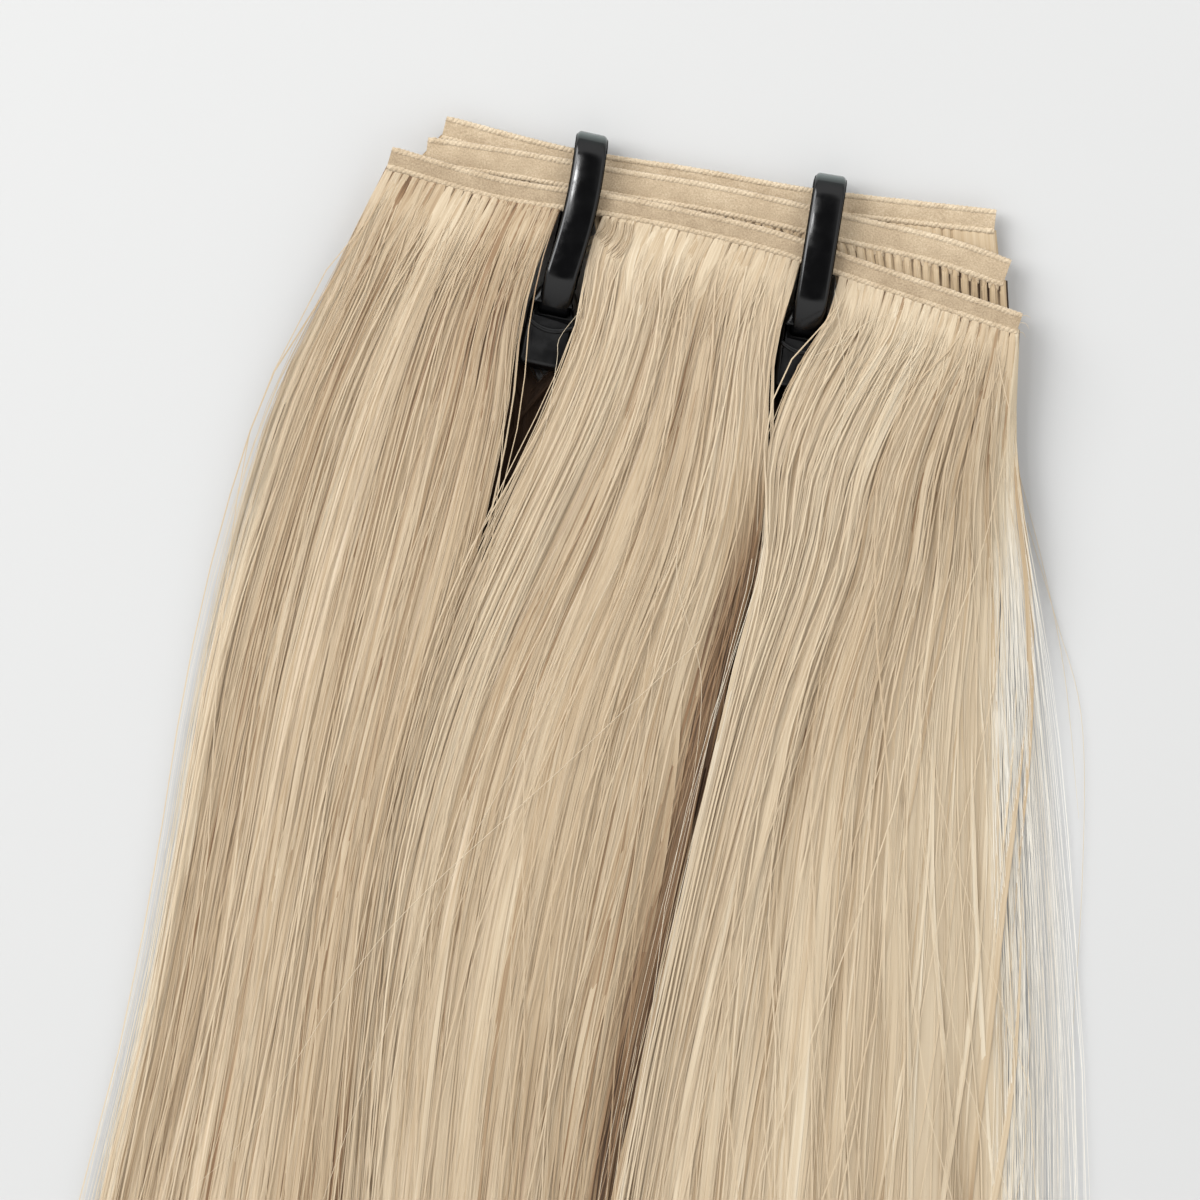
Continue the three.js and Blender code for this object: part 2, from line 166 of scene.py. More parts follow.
class Wire:
    """A node socket that takes part in Python arithmetic: each operation adds its node to the tree."""

    def __init__(self, tree, socket=None):
        self.tree = tree
        self.socket = socket

    def node(self, kind, settings=None, values=None, out=0):
        """Adds a node: its settings first, then the values or links of its sockets."""
        made = self.tree.nodes.new(kind)
        for name, value in (settings or {}).items():
            if name == "stops":
                set_stops(made.color_ramp, value)
            else:
                setattr(made, name, value)
        for key, value in (values or {}).items():
            if isinstance(value, Wire):
                self.tree.links.new(value.socket, made.inputs[key])
            else:
                made.inputs[key].default_value = value
        return Wire(self.tree, made.outputs[out] if len(made.outputs) else None)

    def out(self, name):
        return Wire(self.tree, self.socket.node.outputs[name])

    def math(self, operation, *values):
        return self.node("ShaderNodeMath", {"operation": operation}, dict(enumerate(values)))

    def __add__(self, other):
        return self.math("ADD", self, other)

    def __radd__(self, other):
        return self.math("ADD", other, self)

    def __sub__(self, other):
        return self.math("SUBTRACT", self, other)

    def __rsub__(self, other):
        return self.math("SUBTRACT", other, self)

    def __mul__(self, other):
        return self.math("MULTIPLY", self, other)

    def __rmul__(self, other):
        return self.math("MULTIPLY", other, self)

    def __truediv__(self, other):
        return self.math("DIVIDE", self, other)

    def __rtruediv__(self, other):
        return self.math("DIVIDE", other, self)

    def __pow__(self, other):
        return self.math("POWER", self, other)

    def floor(self):
        return self.math("FLOOR", self)

    def clamp(self, low=0.0, high=1.0):
        return self.node("ShaderNodeClamp", None, {"Value": self, "Min": low, "Max": high})

    def step(self, start, end, low=0.0, high=1.0):
        """Runs smoothly from low at start to high at end."""
        values = {"Value": self, "From Min": start, "From Max": end, "To Min": low, "To Max": high}
        return self.node("ShaderNodeMapRange", {"interpolation_type": "SMOOTHSTEP"}, values)

    def vector(self, x=0.0, y=0.0, z=0.0):
        return self.node("ShaderNodeCombineXYZ", None, {0: x, 1: y, 2: z})

    def cross(self, other):
        return self.node("ShaderNodeVectorMath", {"operation": "CROSS_PRODUCT"}, {0: self, 1: other})

    def scaled(self, factor):
        return self.node("ShaderNodeVectorMath", {"operation": "SCALE"}, {0: self, "Scale": factor})

    def joined(self, parts):
        """All these geometries in one."""
        made = self.tree.nodes.new("GeometryNodeJoinGeometry")
        for part in parts:
            self.tree.links.new(part.socket, made.inputs[0])
        return Wire(self.tree, made.outputs[0])

    def noise(self, vector, scale=1.0, detail=1.0, roughness=0.5, dimensions="3D"):
        values = {"Vector": vector, "Scale": scale, "Detail": detail, "Roughness": roughness}
        return self.node("ShaderNodeTexNoise", {"noise_dimensions": dimensions}, values)

    def attribute(self, name, out="Fac"):
        return self.node("ShaderNodeAttribute", {"attribute_name": name}, None, out)

    def ramp(self, stops, factor):
        return self.node("ShaderNodeValToRGB", {"stops": stops}, {"Fac": factor})

    def bump(self, height, strength, distance):
        return self.node("ShaderNodeBump", None, {
            "Height": height, "Strength": strength, "Distance": distance})


def set_stops(ramp, stops):
    """Gives a colour ramp its (position, colour) stops."""
    while len(ramp.elements) < len(stops):
        ramp.elements.new(1.0)
    for element, (position, colour) in zip(ramp.elements, stops):
        element.position = position
        element.color = colour


def srgb(red, green, blue):
    """An sRGB colour in 0 to 255 as the linear colour that shaders take."""
    def linear(value):
        share = value / 255
        return share / 12.92 if share <= 0.04045 else ((share + 0.055) / 1.055) ** 2.4
    return (linear(red), linear(green), linear(blue), 1.0)


# Geometry node trees

SOCKETS = {int: "NodeSocketInt", float: "NodeSocketFloat"}


def geometry_tree(name, **sizes):
    """A geometry node tree with a geometry, the given sizes and a material as its inputs."""
    tree = bpy.data.node_groups.new(name, "GeometryNodeTree")
    tree.interface.new_socket(name="Geometry", in_out="INPUT", socket_type="NodeSocketGeometry")
    for size, value in sizes.items():
        socket = tree.interface.new_socket(name=size, in_out="INPUT", socket_type=SOCKETS[type(value)])
        socket.default_value = value
    tree.interface.new_socket(name="Material", in_out="INPUT", socket_type="NodeSocketMaterial")
    tree.interface.new_socket(name="Geometry", in_out="OUTPUT", socket_type="NodeSocketGeometry")
    inputs = Wire(tree).node("NodeGroupInput")
    return tree, inputs


def close_tree(inputs, geometry, smooth_faces=True):
    """Ends a tree: instances become real, and everything gets the material."""
    real = inputs.node("GeometryNodeRealizeInstances", None, {"Geometry": geometry})
    smooth = inputs.node("GeometryNodeSetShadeSmooth", None, {
        "Geometry": real, "Shade Smooth": smooth_faces})
    dressed = inputs.node("GeometryNodeSetMaterial", None, {
        "Geometry": smooth, "Material": inputs.out("Material")})
    inputs.node("NodeGroupOutput", None, {"Geometry": dressed})


def grown(name, base, tree, material, **sizes):
    """The plain mesh object that a tree makes of a base mesh."""
    holder = bpy.data.objects.new(name + "_base", base)
    bpy.context.scene.collection.objects.link(holder)
    modifier = holder.modifiers.new("grow", "NODES")
    modifier.node_group = tree
    given = dict(sizes, Material=material)
    for item in tree.interface.items_tree:
        if item.in_out == "INPUT" and item.name in given:
            modifier[item.identifier] = given[item.name]
    bpy.context.view_layer.update()
    evaluated = holder.evaluated_get(bpy.context.evaluated_depsgraph_get())
    mesh = bpy.data.meshes.new_from_object(evaluated)
    mesh.name = name
    bpy.data.objects.remove(holder)
    return new_object(name, mesh)


def new_object(name, data):
    made = bpy.data.objects.new(name, data)
    bpy.context.scene.collection.objects.link(made)
    return made


def strand_tree(name, sizes, sides, flatness):
    """Hair over a lock's surface: it leaves the track in tufts, runs down the lock and ends raggedly.

    With Partial at 1 it makes wisps instead, which begin and end anywhere on the lock.
    """
    tree, inputs = geometry_tree(name, **sizes)
    size = inputs.out
    line = inputs.node("GeometryNodeCurvePrimitiveLine", None, {"End": (0.0, 0.0, 1.0)})
    rows = inputs.node("GeometryNodeResampleCurve", None, {"Curve": line, "Count": size("Points")})
    strands = inputs.node("GeometryNodeDuplicateElements", {"domain": "SPLINE"}, {
        "Geometry": rows, "Amount": size("Strands")})
    number = strands.out("Duplicate Index")
    factor = inputs.node("GeometryNodeSplineParameter")

    def chance(which, identity):
        seeds = size("Seed") * SEED_STEP + which
        return inputs.node("FunctionNodeRandomValue", {"data_type": "FLOAT"}, {
            "ID": identity, "Seed": seeds}, 1)

    # Each strand's rows are shifted a little, so that bends never line up
    inner = factor.step(*SHIFT_STARTS) * factor.step(*SHIFT_ENDS, 1.0, 0.0)
    shifted = factor + (chance(11, number) - 0.5) * ROW_SHIFT * inner
    begin = (chance(13, number) * WISP_STARTS - WISP_LEAD).clamp() * size("Partial")
    length = 1.0 - size("Partial") * (WISP_CUT - chance(14, number) * WISP_VARIETY)
    along = (begin + shifted * length).clamp()
    level = (along ** ROOT_POWER * ROOT_SHARE + along ** TIP_POWER * (1 - ROOT_SHARE)) * HAIR_LENGTH

    # Where a strand lies across its lock: in a tuft at the track, then free, and sparser at a thin edge
    place = (number + chance(1, number)) / size("Strands")
    place = size("LeftEdge") + place * (1.0 - size("LeftEdge") - size("RightEdge"))
    tuft_place = place * size("Tufts")
    tuft = tuft_place.floor()
    squeezed = (tuft + 0.5 + (tuft_place - tuft - 0.5) * size("Squeeze")) / size("Tufts")
    across = squeezed + (place - squeezed) * level.step(*TUFT_OPENS)
    spread = level.step(*EDGE_OPENS)
    loose = 0.0
    for outward, edge, thin in ((-1.0, place, size("LeftThin")), (1.0, 1.0 - place, size("RightThin"))):
        share = (edge / thin).clamp()
        root = share ** 0.5
        shift = (1.0 - root) * SIDE_MARGIN * (thin / SIDE_MARGIN).clamp() - (root - share) * thin
        across = across + shift * spread * outward
        loose = loose + (1.0 - share) * spread

    # It wanders by itself, and a few strands go far
    settled = level.step(*SETTLE_LEVELS)
    wave = inputs.vector(number * DRIFT_STRIDE + size("Seed") * DRIFT_SEED_STRIDE, level / DRIFT_LENGTH)
    drift = inputs.noise(wave, detail=0.0, dimensions="2D") - 0.5
    far = chance(4, number) ** STRAY_POWER * size("Stray")
    across = across + settled * drift * (size("Wander") + far * STRAY_DRIFT)

    # Its spot on the lock's surface, a little above or below it and never in the table
    reach = along * (1.0 - size("Rag") * chance(7, number) ** 2.0)
    column = (across + SIDE_MARGIN) / (1.0 + 2.0 * SIDE_MARGIN)
    spot = inputs.vector(column.clamp(*COLUMN_LIMITS), reach.clamp(*ROW_LIMITS))
    position = inputs.node("GeometryNodeInputPosition")

    def on_surface(kind, value):
        surface_uv = inputs.node("GeometryNodeInputNamedAttribute", {"data_type": "FLOAT_VECTOR"}, {
            "Name": "lock"})
        return inputs.node("GeometryNodeSampleUVSurface", {"data_type": kind}, {
            "Mesh": size("Geometry"), "Value": value, "UV Map": surface_uv, "Sample UV": spot})

    parts = inputs.node("ShaderNodeSeparateXYZ", None, {"Vector": on_surface("FLOAT_VECTOR", position)})
    lift = chance(5, number) * (size("Rise") + size("Sink")) - size("Sink") + far * settled * STRAY_RISE
    height = inputs.math("MAXIMUM", parts.out("Z") + lift, size("Width") * LEAST_LIFT)

    # Its colour is the lock's tone there, a little changed, and painted paler where it lies loose, for the
    # light through thin hair
    tone = on_surface("FLOAT", named(inputs, "tone")) + size("Lighter")
    tone = tone + (chance(9, number) - 0.5) * size("Spread")
    open_end = factor.step(0.0, WISP_OPENS, WISP_START, 1.0)
    taper = 1.0 - size("Partial") * (1.0 - open_end)
    taper = taper * factor.step(
        TAPER_STARTS - size("Partial") * WISP_EARLIER, 1.0, 1.0, TIP_WIDTH - size("Partial") * WISP_THINNER)
    breadth = size("Width") * (LEAST_BREADTH + chance(10, number) ** 2.0 * BREADTH_SPREAD) * taper
    breadth = breadth * (1.0 - loose * LOOSE_THINNER)
    lines = stored(inputs, strands, "tone", (tone + loose * LOOSE_PALER).clamp())
    lines = stored(inputs, lines, "along", along)
    lines = stored(inputs, lines, "strand", number)
    lines = stored(inputs, lines, "breadth", breadth)

    # All of that is stored while the line is even: the spline's parameter follows its length
    curves = moved(inputs, lines, Position=inputs.vector(parts.out("X"), parts.out("Y"), height))
    curves = inputs.node("GeometryNodeSetCurveNormal", {"mode": "Z_UP"}, {"Curve": curves})
    tilt = (chance(12, named(inputs, "strand")) - 0.5) * size("Tilt")
    curves = inputs.node("GeometryNodeSetCurveTilt", None, {"Curve": curves, "Tilt": tilt})
    ring = circle(inputs, sides, RING_RADIUS)
    turn = inputs.node("GeometryNodeSplineParameter") * (2 * math.pi)
    ring = stored(inputs, ring, "side", inputs.math("SINE", turn))
    ring = inputs.node("GeometryNodeTransform", None, {
        "Geometry": ring, "Scale": (flatness, 1.0, 1.0), "Rotation": (0.0, 0.0, -math.pi / 2)})
    tubes = swept(inputs, curves, ring, Scale=named(inputs, "breadth"))
    sideways = named(inputs, "side") * named(inputs, "breadth") * (RING_RADIUS / LOCK_WIDTH)
    flow = inputs.vector(named(inputs, "strand") * STRAND_STRIDE + sideways, named(inputs, "along"))
    tubes = stored(inputs, tubes, "flow", flow, "FLOAT_VECTOR")
    bake_column = (named(inputs, "strand") + 0.5 + named(inputs, "side") * BAKE_HALF) / size("Strands")
    bake_place = inputs.vector(bake_column, named(inputs, "along"))
    tubes = stored(inputs, tubes, "OFBake", bake_place, "FLOAT2", "CORNER")
    close_tree(inputs, tubes, smooth_faces=False)
    return tree


# What the stitches, cross threads and teeth of a track are drawn from: leans in radians, and sizes as shares
# of the stitches' pitch, the cord, the band's height, the thread and the band's thickness
STITCH_LEAN, STITCH_LENGTH, STITCH_FAT = (0.36, 0.46), (2.3, 2.6), (0.92, 1.03)
THREAD_LEAN, THREAD_LENGTH = (-0.5, 0.5), (0.7, 0.9)
THREAD_BREADTH, THREAD_RISE = (0.8, 1.5), (0.95, 1.12)
TOOTH_LEAN, TOOTH_PITCH = (0.25, 0.5), 1.55
TOOTH_LENGTH, TOOTH_BREADTH, TOOTH_RISE = 0.42, 0.75, 1.15
CORD_TUBE = 0.44  # radius of the tube inside a cord, as a share of the cord
CORD_SIDES = 8
BALL_SEGMENTS, BALL_RINGS = 8, 6  # of the round shape that stitches and threads are stretched from
BAND_ROUNDING, BAND_ROUNDING_STEPS = 0.35, 3
STITCHED = (0.008, 0.992)  # the stretch of a track that has stitches


def track_tree():
    """A sewn track along a line: a flat band, cross threads on it, and a stitched cord along each edge."""
    tree, inputs = geometry_tree(
        "sewn_track", Height=2.4 * MM, Thickness=0.4 * MM, Cord=0.72 * MM, Pitch=0.5 * MM,
        Thread=0.16 * MM, ThreadPitch=0.21 * MM, Teeth=0.0, CordTone=1.0, BandTone=0.3, Seed=1)
    size = inputs.out
    path = inputs.node("GeometryNodeMeshToCurve", None, {"Mesh": size("Geometry")})
    path = inputs.node("GeometryNodeSetCurveNormal", {"mode": "Z_UP"}, {"Curve": path})
    upward = inputs.vector(0.0, 0.0, 1.0)
    tangent = inputs.node("GeometryNodeInputTangent")
    side = upward.cross(tangent)
    section = inputs.node("GeometryNodeCurvePrimitiveQuadrilateral", {"mode": "RECTANGLE"}, {
        "Width": size("Height") - size("Cord"), "Height": size("Thickness")})
    section = inputs.node("GeometryNodeFilletCurve", {"mode": "POLY"}, {
        "Curve": section, "Count": BAND_ROUNDING_STEPS, "Radius": size("Thickness") * BAND_ROUNDING})
    band = swept(inputs, path, section)

    def chance(which, low, high):
        seeds = size("Seed") * SEED_STEP + which
        return inputs.node("FunctionNodeRandomValue", {"data_type": "FLOAT"}, {
            2: low, 3: high, "Seed": seeds}, 1)

    def laid(line, pitch, direction, turn, shape, scale):
        """Copies of a shape along a line, each turned to a direction and then a little in the plane."""
        points = inputs.node("GeometryNodeCurveToPoints", {"mode": "LENGTH"}, {
            "Curve": line, "Length": pitch})
        axis = points.out("Tangent")
        if direction == "across":
            axis = upward.cross(axis)
        facing = inputs.node("FunctionNodeAlignRotationToVector", {"axis": "X"}, {"Vector": axis})
        twist = inputs.node("FunctionNodeEulerToRotation", None, {"Euler": inputs.vector(0.0, 0.0, turn)})
        facing = inputs.node("FunctionNodeRotateRotation", {"rotation_space": "LOCAL"}, {
            "Rotation": facing, "Rotate By": twist})
        return inputs.node("GeometryNodeInstanceOnPoints", None, {
            "Points": points, "Instance": shape, "Rotation": facing, "Scale": scale})

    inner_path = inputs.node("GeometryNodeTrimCurve", None, {"Curve": path, 2: STITCHED[0], 3: STITCHED[1]})
    ball = inputs.node("GeometryNodeMeshUVSphere", None, {
        "Segments": BALL_SEGMENTS, "Rings": BALL_RINGS, "Radius": 0.5})
    stitch = stored(inputs, ball, "tone", size("CordTone"))
    thread = stored(inputs, ball, "tone", size("BandTone"))
    parts = [stored(inputs, band, "tone", size("BandTone"))]
    for edge in (-1.0, 1.0):
        shift = side.scaled((size("Height") - size("Cord")) * (0.5 * edge))
        cord = moved(inputs, path, Offset=shift)
        tube = swept(inputs, cord, circle(inputs, CORD_SIDES, size("Cord") * CORD_TUBE))
        parts.append(stored(inputs, tube, "tone", size("CordTone")))
        inner_cord = moved(inputs, inner_path, Offset=shift)
        fat = size("Cord") * chance(3, *STITCH_FAT)
        stitch_size = inputs.vector(size("Pitch") * chance(5, *STITCH_LENGTH), fat, fat)
        parts.append(laid(
            inner_cord, size("Pitch"), "along", chance(4, *STITCH_LEAN), stitch, stitch_size))
    thread_size = inputs.vector(
        size("Height") * chance(6, *THREAD_LENGTH), size("Thread") * chance(8, *THREAD_BREADTH),
        size("Thickness") * chance(9, *THREAD_RISE))
    parts.append(laid(
        inner_path, size("ThreadPitch"), "across", chance(7, *THREAD_LEAN), thread, thread_size))
    lower = moved(inputs, inner_path, Offset=side.scaled(size("Height") * -0.5))
    tooth_size = inputs.vector(
        size("Height") * TOOTH_LENGTH * size("Teeth"), size("Cord") * TOOTH_BREADTH * size("Teeth"),
        size("Thickness") * TOOTH_RISE * size("Teeth"))
    parts.append(laid(
        lower, size("Pitch") * TOOTH_PITCH, "across", chance(10, *TOOTH_LEAN), thread, tooth_size))
    joined = inputs.joined(parts)
    close_tree(inputs, joined)
    return tree


HAIR_SIDES = 4
HAIR_LIFT = 0.6  # least height of a single hair, in widths
HAIR_TAPER, HAIR_TIP = 0.6, 0.5  # from where along it it tapers, and the share of its width left at its end


def hair_line_tree():
    """Single hairs along drawn lines."""
    tree, inputs = geometry_tree("single_hairs", Points=32, Width=0.065 * MM, Tone=0.65)
    size = inputs.out
    lines = inputs.node("GeometryNodeMeshToCurve", None, {"Mesh": size("Geometry")})
    lines = inputs.node("GeometryNodeCurveSplineType", {"spline_type": "CATMULL_ROM"}, {"Curve": lines})
    lines = inputs.node("GeometryNodeResampleCurve", None, {"Curve": lines, "Count": size("Points")})
    position = inputs.node("GeometryNodeInputPosition")
    parts = inputs.node("ShaderNodeSeparateXYZ", None, {"Vector": position})
    height = inputs.math("MAXIMUM", parts.out("Z"), size("Width") * HAIR_LIFT)
    lines = moved(inputs, lines, Position=inputs.vector(parts.out("X"), parts.out("Y"), height))
    lines = stored(inputs, lines, "tone", size("Tone"))
    along = inputs.node("GeometryNodeSplineParameter")
    width = size("Width") * along.step(HAIR_TAPER, 1.0, 1.0, HAIR_TIP)
    close_tree(inputs, swept(inputs, lines, circle(inputs, HAIR_SIDES, 0.5), Scale=width))
    return tree


def moved(inputs, geometry, **values):
    """A geometry whose points take a Position or an Offset."""
    return inputs.node("GeometryNodeSetPosition", None, dict(values, Geometry=geometry))


def swept(inputs, path, section, **values):
    """A closed tube along a path."""
    values = {"Curve": path, "Profile Curve": section, "Fill Caps": True, **values}
    return inputs.node("GeometryNodeCurveToMesh", None, values)


def circle(inputs, sides, radius):
    return inputs.node("GeometryNodeCurvePrimitiveCircle", None, {"Resolution": sides, "Radius": radius})


def stored(inputs, geometry, name, value, kind="FLOAT", domain="POINT"):
    return inputs.node("GeometryNodeStoreNamedAttribute", {"data_type": kind, "domain": domain}, {
        "Geometry": geometry, "Name": name, "Value": value})


def named(inputs, name):
    return inputs.node("GeometryNodeInputNamedAttribute", {"data_type": "FLOAT"}, {"Name": name})


# The surfaces that the locks of hair lie on

def track_y(weft, x):
    """Where a weft's track lies at x, on a smooth curve through its points."""
    xs, ys = np.transpose(TRACK_POINTS[weft])
    x = np.asarray(x, float)
    return smooth_rows(xs, ys[:, None], np.clip(x, xs[0], xs[-1]).ravel())[:, 0].reshape(x.shape)


def track_level(weft):
    low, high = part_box("track_" + weft)
    return (low.z + high.z) / 2 / MM


def smooth_rows(levels, values, wanted):
    """Values given at rising levels, on a smooth curve at the wanted levels, column by column."""
    slopes = np.gradient(values, levels, axis=0)
    after = np.clip(np.searchsorted(levels, wanted, side="right"), 1, len(levels) - 1)
    start = levels[after - 1]
    span = levels[after] - start
    share = ((wanted - start) / span)[:, None]
    span = span[:, None]
    squared = share * share
    cubed = squared * share
    from_start = (2 * cubed - 3 * squared + 1) * values[after - 1]
    from_start = from_start + (cubed - 2 * squared + share) * span * slopes[after - 1]
    return from_start + (3 * squared - 2 * cubed) * values[after] + (cubed - squared) * span * slopes[after]


def smooth_step(value, start, end):
    """Runs smoothly from 0 at start to 1 at end."""
    share = np.clip((value - start) / (end - start), 0, 1)
    return share * share * (3 - 2 * share)


def lock_plan(weft, lock, across, levels):
    """x and y of a lock's rows and columns, seen from above. across runs from its left to its right edge."""
    number = LOCKS.index(lock)
    outer_left = TRACK_POINTS[weft][0][0] + END_CLEARANCE
    outer_right = TRACK_POINTS[weft][-1][0] - END_CLEARANCE
    root_left = outer_left if lock == "left" else LOCK_ROOTS[lock][0] - ROOT_REACH[weft]
    root_right = outer_right if lock == "right" else LOCK_ROOTS[lock][1] + ROOT_REACH[weft]
    root_x = root_left + (root_right - root_left) * across
    front_x = LOCK_ROOTS[lock][0] + (LOCK_ROOTS[lock][1] - LOCK_ROOTS[lock][0]) * across
    rows_x = [root_x]
    rows_y = [track_y(weft, root_x) - TRACK_HEIGHT / 2 + ROOT_TUCK]
    for down, edges in LOCK_EDGES.items():
        close = smooth_step(down, *PARTING_LEVELS[weft])
        reach = close * (PARTING_REACH[weft] + PARTING_BACK[weft]) - PARTING_BACK[weft]
        left, right = edges[number]
        inset_left, inset_right = (smooth_step(down, 0, INSET_FULL) * inset for inset in SIDE_INSET[weft])
        left += inset_left if lock == "left" else -reach
        right += np.interp(down, *np.transpose(RIGHT_SHIFT)) - inset_right if lock == "right" else reach
        share, power = SWEEP[lock]
        sweep = share * (1 - (1 - min(down / SWEEP_FULL, 1)) ** SWEEP_EASE)
        inner = np.clip(across, 0, 1)
        drawn = across + sweep * (inner ** power - inner)
        drawn = drawn + sweep * (power - 1) * OUTER_SPREAD * np.maximum(across - 1, 0)
        slant = max(0.0, 1 - down / SLANT_ENDS)
        rows_x.append(left + (right - left) * drawn)
        rows_y.append(LEVEL_Y - down + slant * (track_y("front", front_x) - LEVEL_Y))
    given = np.array([0.0, *LOCK_EDGES])
    return smooth_rows(given, np.array(rows_x), levels), smooth_rows(given, np.array(rows_y), levels)


def solid_tree(node):
    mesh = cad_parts[node].data
    return BVHTree.FromPolygons([v.co for v in mesh.vertices], [tuple(p.vertices) for p in mesh.polygons])


PROBE_HEIGHT = 0.1  # in m, beyond every solid


def solid_heights(tree, x, y, from_below=False):
    """Heights in mm at which plumb lines meet a solid from above or below, or nan where they miss it."""
    start = -PROBE_HEIGHT if from_below else PROBE_HEIGHT
    direction = Vector((0.0, 0.0, -math.copysign(1.0, start)))
    found = np.full(x.shape, np.nan)
    for spot in np.ndindex(x.shape):
        at = in_part((x[spot], y[spot], 0.0))
        hit = tree.ray_cast(Vector((at[0], at[1], start)), direction)[0]
        if hit is not None:
            found[spot] = hit.z / MM
    return found


def bridged(heights, levels, root):
    """Heights with the gaps in each column filled along the hair, from its root on."""
    filled = heights.copy()
    for column in range(heights.shape[1]):
        known = ~np.isnan(heights[:, column])
        known[0] = False
        at = np.concatenate([[levels[0]], levels[known]])
        height = np.concatenate([[root], heights[known, column]])
        filled[:, column] = np.interp(levels, at, height)
    return filled


def softened(heights, passes):
    """Heights with their facets smoothed away, but not at the roots."""
    soft = heights.copy()
    for _ in range(passes):
        edged = np.pad(soft, 1, mode="edge")
        soft[1:] = (edged[1:-1, :-2] + 2 * edged[1:-1, 1:-1] + edged[1:-1, 2:])[1:] / 4
        edged = np.pad(soft, 1, mode="edge")
        soft[1:] = (edged[:-2, 1:-1] + 2 * edged[1:-1, 1:-1] + edged[2:, 1:-1])[1:] / 4
    return soft


RISE_MADE_GOOD = 1.15  # for what smoothing takes from the rise over a tie
STRAP_DIVE_LENGTH = 3.0  # before its head, the strap dives over this length
STRAP_DIVE_SPAN = (1.5, 4.8)  # and the hair over it comes down here
TIE_SIDE_ROOM = 0.2
TIE_END_ROOM = 0.5


def over_ties(x, y, heights):
    """Heights raised where a lock of the top weft lies on a tie's head."""
    raised = heights.copy()
    for (top_x, top_y), reach, lean, _ in TIES.values():
        turn = math.radians(lean)
        sideways = (x - top_x) * math.cos(turn) + (y - top_y) * math.sin(turn)
        down = (x - top_x) * math.sin(turn) - (y - top_y) * math.cos(turn)
        end = reach + HEAD_LENGTH / 2
        dive = reach - HEAD_LENGTH / 2 - STRAP_DIVE_LENGTH
        spots = [dive + step for step in STRAP_DIVE_SPAN]
        top = np.interp(down, spots, (STRAP_HIGH + STRAP_LOW, HEAD_HEIGHT)) + TIE_CLEARANCE
        shoulder = smooth_step(down, reach - HEAD_LENGTH / 2 - SHOULDER_LENGTH, reach - HEAD_LENGTH / 2)
        half = STRAP_WIDTH / 2 + TIE_SIDE_ROOM + shoulder * (HEAD_WIDTH - STRAP_WIDTH) / 2
        near = (np.abs(sideways) < half) & (down > dive) & (down < end + TIE_END_ROOM)
        raised = np.where(near, np.maximum(raised, top), raised)
    return raised


NOISE_CELLS = 128


def lattice_noise(x, y, seed):
    """Smooth noise from 0 to 1, with one swell to each unit of x and y."""
    table = np.random.default_rng(seed).random((NOISE_CELLS, NOISE_CELLS))
    x, y = np.broadcast_arrays(x, y)
    column = np.floor(x).astype(int)
    row = np.floor(y).astype(int)
    right = smooth_step(x - column, 0, 1)
    down = smooth_step(y - row, 0, 1)

    def at(columns_on, rows_on):
        return table[(row + rows_on) % NOISE_CELLS, (column + columns_on) % NOISE_CELLS]

    upper = at(0, 0) + (at(1, 0) - at(0, 0)) * right
    lower = at(0, 1) + (at(1, 1) - at(0, 1)) * right
    return upper + (lower - upper) * down


CLUMPS = (  # how many lie across a lock; their furrows' depth in mm, darkness and length in mm. The darkness is painted shade in the furrows, and also scales each clump's own tone
    (11, 0.42, 0.16, 80.0),
    (31, 0.20, 0.18, 50.0),
    (70, 0.05, 0.13, 36.0),
)
CLUMP_LEVELS = (2.0, 12.0)  # distances down the hair between which they form
SPARE_CLUMPS = 8  # past the lock's edges
CLUMP_WOBBLE, WOBBLE_PITCH = 1.6, 0.5  # how far furrows wander, in clumps, and how often for each clump
RIM_POWER = 2.5  # how steeply a clump falls to its furrows
PARTED_PITCH, PARTED_STRETCH = 0.4, 1.3  # swells of the furrows' depth, for each clump and in its length
PARTED_RANGE = (0.25, 0.7)  # of that noise, over which a furrow opens
OWN_DEPTH, MEAN_DEPTH, OWN_TONE = 0.5, 0.25, 0.6  # how much single clumps differ
PATCHES = (  # soft changes of tone, partly the hair's own and partly painted sheen and shade: how many lie across a lock, their length in mm and their strength
    (2.5, 70.0, 0.08),
    (7.0, 45.0, 0.12),
)
TUFT_GAP = 0.3  # depth of the gaps between the tufts at the track
# Painted shade in the gaps between the tufts at the track, for each weft
TUFT_SHADES = {"back": 0.25, "middle": 0.4, "front": 0.6}
TUFT_SHARPNESS = {"back": 3, "middle": 3, "front": 8}
TUFT_LEVELS = (0.8, 4.2)  # distances down the hair between which those gaps close
LOCK_TONES = {"left": 0.43, "centre": 0.46, "right": 0.46}
# Painted shade and light at a lock's left and right edge: how much darker it is painted there (beside the
# partings; negative for the paler edges of the right lock), where across it, and from where down the hair
LOCK_SHADES = {"left": (0.0, 0.1), "centre": (0.05, 0.4), "right": (-0.03, -0.1)}
LEFT_SHADE_ZONE = (0.0, 0.25)
RIGHT_SHADE_ZONES = {"left": (0.75, 0.97), "centre": (0.82, 0.985), "right": (0.9, 0.985)}
SIDE_SHADE_LEVELS = (18.0, 40.0)
# Painted shade: how much darker it is near the track, and where that ends
LOCK_ROOT_SHADES = {"left": 0.12, "centre": -0.02, "right": 0.0}
ROOT_SHADE_LEVELS = (8.0, 35.0)
# Painted shade: how much darker a weft is at its roots and further down, where it lies in shade under the
# weft above, and the distances between which that comes and goes
WEFT_SHADES = {"back": (0.0, 0.9), "middle": (0.1, 0.9), "front": (0.0, 0.0)}
SHADE_STARTS = (9.0, 15.0)
SHADE_ENDS = (50.0, 80.0)
OWN_DRAWS, PARTED_DRAWS, PATCH_DRAWS, SWAY_DRAWS = 1000, 2000, 3000, 4000  # added to the seeds


